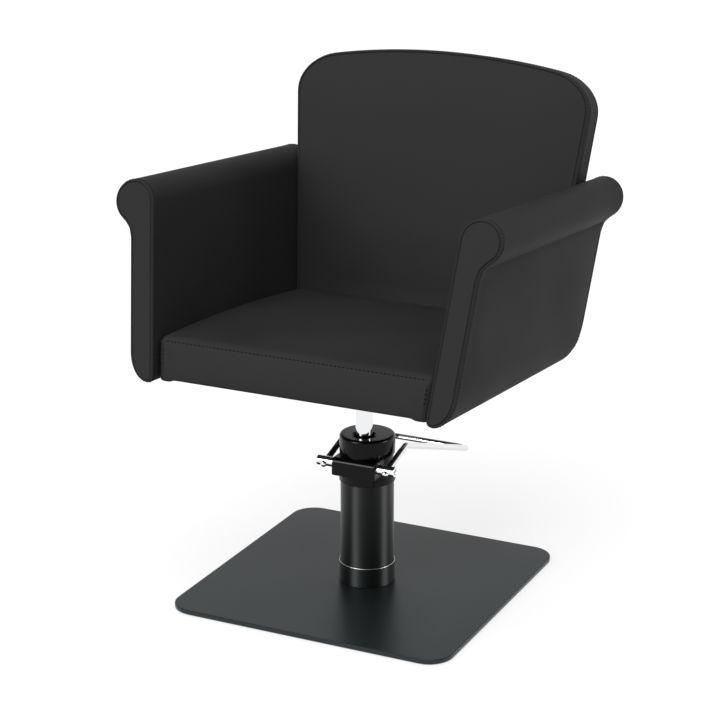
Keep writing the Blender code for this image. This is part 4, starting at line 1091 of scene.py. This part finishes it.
class CHAIR_OT_seat(Operator):
    """Seat cushion with a rolled front edge, a sewn front panel and folded lower corners"""

    bl_idname = "chair.seat"
    bl_label = "Seat cushion"

    def execute(self, context):
        chair = context.scene.chair
        seat = chair.seat
        looks = finishes(chair.colours)
        half = chair.arm.inside / 2 - seat.side_gap
        rear = chair.back.foot - seat.back_gap
        front = -seat.front
        seam = seat.edge - seat.seam_drop
        upright = half - seat.side_seam
        bm = self.block(seat, half, front, rear, seam, upright)
        pattern = pattern_of(bm)
        cushion = cover(bm, self.form(chair, pattern, half, front, rear), "seat_sewn", looks["leatherette"])

        x, y, z = pattern.T
        on_front = at(y, front)
        top = at(z, seat.edge) & (np.abs(x) < half - seat.rim - SAME)
        top &= (y > front + seat.rim + SAME) & (y < rear - seat.rim - SAME)
        panel = on_front & (np.abs(x) < upright - SEAM_HALF - SAME)
        panel &= (z < seam - SEAM_HALF - SAME) & (z > PITCH / 2)
        swell(cushion, top | panel, seat.swell)

        near_front = y < front + seat.corner
        under = z < seam - SEAM_HALF
        across = near_front & at(z, seam)
        down = on_front & at(np.abs(x), upright) & (z < seam + SAME)
        lips = near_front & at(np.abs(z - seam), SEAM_HALF)
        lips |= on_front & at(np.abs(np.abs(x) - upright), SEAM_HALF) & under
        rows = across | down
        press(cushion, np.zeros_like(rows), rows, lips & ~rows, chair.sewing)

        rows = [chain(cushion.data, across & (np.abs(x) < upright + SAME))]
        down &= under & (z > seat.rim / 2)
        rows += [chain(cushion.data, down & (side * x > 0)) for side in SIDES.values()]
        keep(cushion, "seat", "leatherette", "seat_cushion")
        sew(cushion, rows, looks["thread"], chair.sewing, "seat_stitches", chair.sewing.seat_pitch)
        smooth_once(cushion)
        return {"FINISHED"}

    def block(self, seat, half, front, rear, seam, upright):
        """Square pattern of the cushion."""
        rims = ((2, seat.edge, seat.rim, TOP_RIM_STEPS), (2, 0.0, seat.foot_rim, FOOT_RIM_STEPS))
        board_x = half - seat.board_side + ROOM
        board_front = front + seat.board_front - ROOM
        board_rear = rear - seat.board_side + ROOM
        inner = half - PITCH
        tab = half - seat.tab
        third = seat.corner / 3
        across = net(-inner, inner)
        across += mirrored(inner, board_x, board_x + 2 * ROOM, half - third, half - 2 * third)
        across += mirrored(upright - SEAM_HALF, upright, upright + SEAM_HALF)
        across += mirrored(tab - seat.fold, tab, tab + seat.fold)
        along = net(front + PITCH, rear - PITCH) + [front + third, front + 2 * third, front + PITCH]
        along += [rear - third, rear - 2 * third, rear - PITCH, board_front, board_front - 2 * ROOM]
        along += [board_rear, board_rear + 2 * ROOM]
        upward = [seam + SEAM_HALF * step for step in (-1, 0, 1, 2)]
        upward += net(seat.foot_rim, seam - SEAM_CLEAR)
        return pad_block((-half, front, 0.0), (half, rear, seat.edge), rims, (across, along, upward))

    def form(self, chair, pattern, half, front, rear):
        """Places of the cushion's vertices in the chair's frame."""
        seat = chair.seat
        x, y, z = pattern.T
        pocket = (z < SAME) & (np.abs(x) < half - seat.board_side + 2 * ROOM)
        pocket &= (y > front + seat.board_front - 2 * ROOM) & (y < rear - seat.board_side + 2 * ROOM)
        corner = seat.corner
        across, back = round_corner(np.abs(x) - half + corner, y - rear + corner)
        across, ahead = round_corner(across, front + corner - y)
        x = np.sign(x) * (across + half - corner)
        y = np.where(y > 0, back + rear - corner, front + corner - ahead)
        lift = z / seat.edge
        x = x * (half + z * math.tan(chair.arm.flare)) / half
        front_here = front + z * math.tan(chair.arm.rake)
        rear_here = rear + z * math.tan(chair.back.lean)
        y = front_here + (y - front) / (rear - front) * (rear_here - front_here)
        along = np.clip(np.abs(2 * (y - (rear + front) / 2) / (rear - front)), 0.0, 1.0)
        flat = 1 - seat.side_fall * (pattern[:, 0] / half) ** 4
        z = z + lift * seat.crown * (1 - along ** 2) * flat
        z = np.where(pocket, seat.board_thick, z)
        folded = (pattern[:, 2] < seat.foot_rim + ROOM) & ~pocket
        folded &= pattern[:, 1] < front + seat.board_front
        tab = half - seat.tab
        slope = seat.fold + ROOM / 3
        fold = ease_in(tab - slope, tab + slope, np.abs(pattern[:, 0]))
        z = z - np.where(folded, seat.tab_drop * fold, 0.0)
        return tilted(seat, np.stack((x, y, z), axis=1))


class CHAIR_OT_arms(Operator):
    """Two arms with a rolled top, sewn end panels and rows of stitches"""

    bl_idname = "chair.arms"
    bl_label = "Arms"

    def execute(self, context):
        chair = context.scene.chair
        looks = finishes(chair.colours)
        for name, side in SIDES.items():
            bm, kinds, fold = self.block(chair.arm)
            pattern = pattern_of(bm)
            ring, rail = (self.numbers(bm, key) for key in ("ring", "rail"))
            pad = cover(bm, self.form(chair, pattern, side), f"arm_{name}_sewn", looks["leatherette"])

            kind = np.array(kinds)[ring]
            foot = rail > RAIL_STEPS - HELD_FOOT
            free = (kind == "panel") | (kind == "") & ~foot & (np.abs(rail - fold) > 1)
            swell(pad, free, chair.arm.swell)
            press(pad, kind == "line", kind == "row", kind == "lip", chair.sewing)
            keep(pad, "seat", "leatherette", f"arm_pad_{name}")
            rows = []
            for near in (ring < len(kinds) / 2, ring > len(kinds) / 2):
                row = np.flatnonzero((kind == "row") & near)
                row = row[np.argsort(rail[row])]
                rows.append(np.append(row, row[0]))
            sew(pad, rows, looks["thread"], chair.sewing, f"arm_{name}_stitches", chair.sewing.pitch)
            smooth_once(pad)
        return {"FINISHED"}

    def outline(self, arm):
        """Front view, evenly spaced: from the roll's top down the outside to the foot, then up the inside."""
        offset = arm.thick + arm.neck - arm.roll
        drop = math.sqrt((arm.roll + arm.neck) ** 2 - offset ** 2)
        leave = math.atan2(-drop, offset)
        roll = (arm.roll, arm.roll_height)
        neck = (arm.thick + arm.neck, arm.roll_height - drop)
        keel = (arm.tip, arm.keel_height - arm.drop)
        width = arm.thick - arm.tip
        quarter = math.pi / 2
        outer = arc(roll, arm.roll, quarter, leave, FINE_STEPS)
        bend_start = len(outer)
        outer += arc(neck, arm.neck, leave + math.pi, math.pi, FINE_STEPS)[1:]
        crease = outer[(bend_start + len(outer)) // 2]
        outer += arc(keel, width, 0.0, -quarter, FINE_STEPS, arm.keel_height / width)
        inner = arc((arm.tip, arm.tip - arm.drop), arm.tip, -quarter, -math.pi, FINE_STEPS)
        inner += arc(roll, arm.roll, math.pi, quarter, FINE_STEPS)
        outer, fold = self.even(outer, crease)
        inner, _ = self.even(inner)
        return np.concatenate((outer, inner[1:-1])), fold

    def even(self, points, crease=None):
        """Points spaced evenly along a rail, closer together at a crease; gives the crease's number too."""
        points = np.array(points)
        run = run_along(points)
        marks = np.linspace(0.0, run[-1], RAIL_STEPS + 1)
        fold = None
        if crease is not None:
            place = run[np.argmin(np.linalg.norm(points - crease, axis=1))]
            fold = int(np.argmin(np.abs(marks - place)))
            marks[fold - 1:fold + 2] = (place - CREASE_HALF, place, place + CREASE_HALF)
        return np.stack([np.interp(marks, run, points[:, axis]) for axis in (0, 1)], axis=1), fold

    def rings(self, arm):
        """Rings from end to end: place along the arm, inset of the outline, and what the ring is for."""
        rim = arm.rim
        end = [(0.0, arm.border, "held"), (0.0, arm.panel_seam + SEAM_HALF, "lip"),
               (0.0, arm.panel_seam, "line")]
        for step in range(EDGE_STEPS + 1):
            angle = math.pi / 2 * step / EDGE_STEPS
            end.append((rim * (1 - math.cos(angle)), rim * (1 - math.sin(angle)), "held"))
        end += [(arm.seam - SEAM_HALF, 0.0, "lip"), (arm.seam, 0.0, "row"),
                (arm.seam + SEAM_HALF, 0.0, "lip"), (arm.seam + PITCH / 2, 0.0, "held")]
        heel = arm.length - arm.heel
        middle = [(place, 0.0, "") for place in net(arm.seam + PITCH / 2, heel)] + [(heel, 0.0, "")]
        middle += [(place, 0.0, "") for place in net(heel, arm.length - arm.seam - PITCH / 2, PITCH / 2)]
        return end + middle + [(arm.length - place, inset, kind) for place, inset, kind in reversed(end)]

    def block(self, arm):
        """Pattern of an arm: the outline extruded ring by ring, and end panels laid like a ladder."""
        outline, fold = self.outline(arm)
        count = len(outline)
        ahead = np.roll(outline, -1, axis=0) - np.roll(outline, 1, axis=0)
        ahead /= np.linalg.norm(ahead, axis=1, keepdims=True)
        inward = np.stack((ahead[:, 1], -ahead[:, 0]), axis=1)
        bm = bmesh.new()
        layers = bm.verts.layers.int
        ring_of = layers.new("ring")
        rail_of = layers.new("rail")
        loop = [bm.verts.new() for _ in outline]
        edges = [bm.edges.new((loop[number - 1], loop[number])) for number in range(count)]
        for number, vert in enumerate(loop):
            vert[rail_of] = number
        rings = self.rings(arm)
        for number, (along, inset, _) in enumerate(rings):
            if number:
                grown = bmesh.ops.extrude_edge_only(bm, edges=edges)["geom"]
                loop = [item for item in grown if isinstance(item, bmesh.types.BMVert)]
                fresh = set(loop)
                edges = [item for item in grown if isinstance(item, bmesh.types.BMEdge)
                         and item.verts[0] in fresh and item.verts[1] in fresh]
            depth = np.full(count, inset)
            depth[fold] += arm.crease * min(1.0, min(along, arm.length - along) / (2 * PITCH))
            ring = outline + inward * depth[:, None]
            for vert in loop:
                vert.co = (*ring[vert[rail_of]], along)
                vert[ring_of] = number
        for number in (0, len(rings) - 1):
            loop = [vert for vert in bm.verts if vert[ring_of] == number]
            loop.sort(key=lambda vert: vert[rail_of])
            self.panel(bm, loop, ring_of, len(rings))
        return bm, [kind for _, _, kind in rings] + ["panel"], fold

    def numbers(self, bm, key):
        """Numbers kept on the vertices, which leave the mesh again."""
        layer = bm.verts.layers.int[key]
        values = np.array([vert[layer] for vert in bm.verts])
        bm.verts.layers.int.remove(layer)
        return values

    def panel(self, bm, loop, ring_of, number):
        """Close an end with rungs from the outside to the inside, cut into small faces."""
        bm.faces.new(loop)
        rungs = []
        for step in range(1, RAIL_STEPS):
            rungs += bmesh.ops.connect_verts(bm, verts=[loop[step], loop[-step]])["edges"]
        cut = bmesh.ops.subdivide_edges(bm, edges=rungs, cuts=PANEL_CUTS, use_grid_fill=True)
        for item in cut["geom_inner"]:
            if isinstance(item, bmesh.types.BMVert):
                item[ring_of] = number

    def form(self, chair, pattern, side):
        """Places of an arm's vertices in the chair's frame."""
        arm = chair.arm
        out, up, along = pattern.T
        keel = np.clip((out - arm.tip) / (arm.thick - arm.tip), 0.0, 1.0)
        tip = np.clip((arm.tip - out) / arm.tip, 0.0, 1.0)
        sole = arm.keel_height * (1 - np.sqrt(1 - keel ** 2)) - arm.drop
        sole += arm.tip * (1 - np.sqrt(1 - tip ** 2))
        back, down = round_corner(along - arm.length + arm.heel, arm.heel + sole - up)
        along = back + arm.length - arm.heel
        up = arm.heel + sole - down
        x = side * (arm.inside / 2 + out * math.cos(arm.flare) + up * math.sin(arm.flare))
        y = -arm.front + up * math.tan(arm.rake) + along
        z = up * math.cos(arm.flare) - out * math.sin(arm.flare)
        return tilted(chair.seat, np.stack((x, y, z), axis=1))


class CHAIR_OT_back(Operator):
    """Back with an arched top, a soft face, a sewn boxing and its stitches"""

    bl_idname = "chair.back"
    bl_label = "Back"

    def execute(self, context):
        chair = context.scene.chair
        back = chair.back
        looks = finishes(chair.colours)
        half = chair.arm.inside / 2 - back.side_gap
        foot = ROOM + back.thick * math.sin(back.lean)
        bm = self.block(back, half, foot)
        pattern = pattern_of(bm)
        pad = cover(bm, self.form(chair, pattern, half, foot), "back_sewn", looks["leatherette"])

        x, up, depth = pattern.T
        over_seat = chair.seat.edge + chair.seat.crown + PITCH
        clear = back.face_seam + 2 * SEAM_HALF + SAME
        inside = (np.abs(x) < half - clear) & (up < back.length - clear)
        face = (depth < SAME) & inside & (up > over_seat)
        rear = (depth > back.thick - SAME) & inside & (up > foot + PITCH)
        swell(pad, face | rear, back.swell)

        from_face = np.minimum(depth, back.thick - depth)
        inset = np.minimum(half - np.abs(x), back.length - up)
        boxing = (inset < SAME) & (up > foot + SAME)
        on_face = (from_face < SAME) & (up > foot + back.rim + SAME)
        rows = boxing & at(from_face, back.seam)
        lines = on_face & at(inset, back.face_seam)
        lips = boxing & at(np.abs(from_face - back.seam), SEAM_HALF)
        lips |= on_face & at(inset, back.face_seam + SEAM_HALF)
        press(pad, lines, rows, lips, chair.sewing)
        middle = back.thick / 2
        rows = [chain(pad.data, rows & near) for near in (depth < middle, depth > middle)]
        keep(pad, "seat", "leatherette", "back_pad")
        sew(pad, rows, looks["thread"], chair.sewing, "back_stitches", chair.sewing.pitch)
        smooth_once(pad)
        return {"FINISHED"}

    def block(self, back, half, foot):
        """Square pattern of the back: across, up and behind the face."""
        rims = ((2, 0.0, back.rim, EDGE_STEPS), (2, back.thick, back.rim, EDGE_STEPS))
        inner = half - back.corner
        high = back.length - back.corner
        cuts = [back.corner * step / CORNER_CUTS for step in range(CORNER_CUTS)]
        across = net(-inner, inner) + mirrored(*(inner + place for place in cuts))
        upward = net(foot + PITCH, high) + [foot + PITCH] + [high + place for place in cuts]
        edge = [back.face_seam + SEAM_HALF * step for step in range(3)]
        across += mirrored(*(half - place for place in edge))
        upward += [back.length - place for place in edge]
        through = []
        for place in (back.seam - SEAM_HALF, back.seam, back.seam + SEAM_HALF, back.seam + PITCH / 2):
            through += [place, back.thick - place]
        through += net(back.seam + PITCH / 2, back.thick - back.seam - PITCH / 2, PITCH / 2)
        low = (-half, foot, 0.0)
        return pad_block(low, (half, back.length, back.thick), rims, (across, upward, through))

    def form(self, chair, pattern, half, foot):
        """Places of the back's vertices in the chair's frame."""
        back = chair.back
        x, up, depth = pattern.T
        corner = back.corner
        across, rise = round_corner(np.abs(x) - half + corner, up - back.length + corner)
        x = np.sign(x) * (across + half - corner)
        up = rise + back.length - corner
        behind, below = round_corner(depth - back.thick + back.heel, foot + back.heel - up)
        depth = behind + back.thick - back.heel
        up = foot + back.heel - below
        part = (up - foot) / (back.length - foot)
        sag = back.top - np.sqrt(back.top ** 2 - x ** 2)
        up = up - sag * part ** 2
        widen = math.tan(chair.arm.flare) * math.cos(back.lean)
        x = x * (half + up * widen) / half
        rim_in = np.minimum(half + up * widen - np.abs(x), back.length - sag - up)
        over_seat = up - chair.seat.edge - chair.seat.crown
        crown = back.crown * ease_in(back.rim, back.border, rim_in)
        crown *= np.clip(over_seat / back.fade, 0.0, 1.0)
        depth = depth - np.where(pattern[:, 2] < SAME, crown, 0.0)
        y = back.foot + up * math.sin(back.lean) + depth * math.cos(back.lean)
        z = up * math.cos(back.lean) - depth * math.sin(back.lean)
        return tilted(chair.seat, np.stack((x, y, z), axis=1))


class CHAIR_OT_plain_parts(Operator):
    """Finishes for the parts of the frame that are shown as they are"""

    bl_idname = "chair.plain_parts"
    bl_label = "Plain parts"

    def execute(self, context):
        looks = finishes(context.scene.chair.colours)
        slots = {part["node"]: part["material_slot"] for part in frame["record"]["subparts"]}
        for name, shown in NODES.items():
            look = looks[slots[name]]
            if not shown.material_slots:
                shown.data.materials.append(look)
            for slot in shown.material_slots:
                slot.material = look
        return {"FINISHED"}


class CHAIR_OT_studio(Operator):
    """Pale floor, even soft light and the camera at the photo's view"""

    bl_idname = "chair.studio"
    bl_label = "Studio"

    def execute(self, context):
        chair = context.scene.chair
        studio = chair.studio
        scene = context.scene
        scene.view_settings.view_transform = "Standard"

        bm = bmesh.new()
        bmesh.ops.create_grid(bm, x_segments=1, y_segments=1, size=FLOOR_HALF)
        bmesh.ops.translate(bm, verts=bm.verts[:], vec=(0, 0, CAD_LOW.z - ROOM))
        floor = piece_from(bm, "floor", self.floor_finish(chair))

        scene.world = self.sky(studio)
        # The flat plate would mirror the lamps that only make highlights as a white glare
        spared = bpy.data.collections.new("spared_from_highlights")
        spared.objects.link(bpy.data.objects["plate_painted"])
        spared.collection_objects[0].light_linking.link_state = "EXCLUDE"
        for name, (setting, azimuth, elevation, width, matt) in LAMPS.items():
            lamp = bpy.data.lights.new(name, "SUN")
            lamp.energy = getattr(studio, setting)
            lamp.angle = math.radians(width)
            lit = bpy.data.objects.new(name, lamp)
            lit.visible_diffuse = matt
            if not matt:
                lit.light_linking.receiver_collection = spared
            way = self.heading(math.radians(azimuth), math.radians(elevation))
            lit.rotation_euler = way.to_track_quat("Z", "Y").to_euler()
            scene.collection.objects.link(lit)

        lens = bpy.data.cameras.new("camera")
        lens.lens = studio.lens
        lens.sensor_width = SENSOR_WIDTH
        camera = bpy.data.objects.new("camera", lens)
        way = self.heading(studio.azimuth, studio.elevation)
        camera.location = Vector((studio.aim_side, 0.0, studio.aim_height)) + way * studio.distance
        camera.rotation_euler = (math.pi / 2 - studio.elevation, 0.0, studio.azimuth)
        scene.collection.objects.link(camera)
        scene.camera = camera
        return {"FINISHED"}

    def sky(self, studio):
        """White to the camera; to mirrors a white rear wall under a dark ceiling; else soft light."""
        world = bpy.data.worlds.new("sky")
        world.use_nodes = True
        tree = world.node_tree
        link = tree.links.new
        shine = tree.nodes["Background"]
        shine.inputs["Color"].default_value = (1.0, 1.0, 1.0, 1.0)
        split = node(tree, "ShaderNodeSeparateXYZ")
        link(node(tree, "ShaderNodeTexCoord").outputs["Generated"], split.inputs["Vector"])
        climb = spread(tree, split.outputs["Z"], studio.horizon, studio.zenith, (0.0, 0.9))
        wall = spread(tree, split.outputs["Z"], 1.0, 0.0, (0.25, 0.6))
        rear = spread(tree, split.outputs["Y"], 0.0, 1.0, (-0.3, 0.3))
        rear_wall = combine(tree, "MULTIPLY", wall, rear)
        pick = node(tree, "ShaderNodeMix", data_type="FLOAT")
        link(seen_directly(tree), pick.inputs["Factor"])
        link(climb, pick.inputs["A"])
        link(spread(tree, rear_wall, studio.ceiling, 1.0, (0.0, 1.0)), pick.inputs["B"])
        white = node(tree, "ShaderNodeMix", {"B": 1.0}, data_type="FLOAT")
        link(node(tree, "ShaderNodeLightPath").outputs["Is Camera Ray"], white.inputs["Factor"])
        link(pick.outputs["Result"], white.inputs["A"])
        link(white.outputs["Result"], shine.inputs["Strength"])
        return world

    def heading(self, azimuth, elevation):
        """Way from the chair at an azimuth to the right of the front and a height angle."""
        return Vector((math.sin(azimuth) * math.cos(elevation), -math.cos(azimuth) * math.cos(elevation),
                       math.sin(elevation)))

    def floor_finish(self, chair):
        """Matt pale floor that reads white to the eye and still takes shadows."""
        made = bpy.data.materials.new("studio_floor")
        made.use_nodes = True
        tree = made.node_tree
        tree.nodes.clear()
        link = tree.links.new
        matt = node(tree, "ShaderNodeBsdfDiffuse", {"Color": (*chair.colours.floor, 1.0)})
        glow = node(tree, "ShaderNodeEmission", {"Color": (1.0, 1.0, 1.0, 1.0)})
        both = node(tree, "ShaderNodeAddShader")
        out = node(tree, "ShaderNodeOutputMaterial")
        link(combine(tree, "MULTIPLY", seen_directly(tree), chair.studio.glow), glow.inputs["Strength"])
        for place, shader in zip(both.inputs, (matt, glow)):
            link(shader.outputs[0], place)
        link(both.outputs[0], out.inputs["Surface"])
        return made


STEPS = (CHAIR_OT_plain_parts, CHAIR_OT_base, CHAIR_OT_pump, CHAIR_OT_ram, CHAIR_OT_lever, CHAIR_OT_seat,
         CHAIR_OT_arms, CHAIR_OT_back, CHAIR_OT_studio)


class CHAIR_PT_panel(Panel):
    """Steps and settings of the chair"""

    bl_idname = "CHAIR_PT_panel"
    bl_label = "Hairdressing chair"
    bl_space_type = "VIEW_3D"
    bl_region_type = "UI"
    bl_category = "Chair"

    def draw(self, context):
        column = self.layout.column(align=True)
        for step in STEPS:
            column.operator(step.bl_idname)
        chair = context.scene.chair
        for key in chair.bl_rna.properties.keys():
            if key in ("rna_type", "name"):
                continue
            box = self.layout.box()
            box.label(text=key.capitalize())
            group = getattr(chair, key)
            for size in group.bl_rna.properties.keys():
                if size not in ("rna_type", "name"):
                    box.prop(group, size)


CLASSES = (SeatSizes, ArmSizes, BackSizes, SewingSizes, MetalSizes, Colours, StudioSettings, ChairSettings,
           *STEPS, CHAIR_PT_panel)


def register():
    for item in CLASSES:
        bpy.utils.register_class(item)
    bpy.types.Scene.chair = PointerProperty(type=ChairSettings)


def unregister():
    del bpy.types.Scene.chair
    for item in reversed(CLASSES):
        bpy.utils.unregister_class(item)


def main():
    register()
    bpy.ops.chair.plain_parts()
    bpy.ops.chair.base()
    bpy.ops.chair.pump()
    bpy.ops.chair.ram()
    bpy.ops.chair.lever()
    bpy.ops.chair.seat()
    bpy.ops.chair.arms()
    bpy.ops.chair.back()
    bpy.ops.chair.studio()


if __name__ == "__main__":
    main()
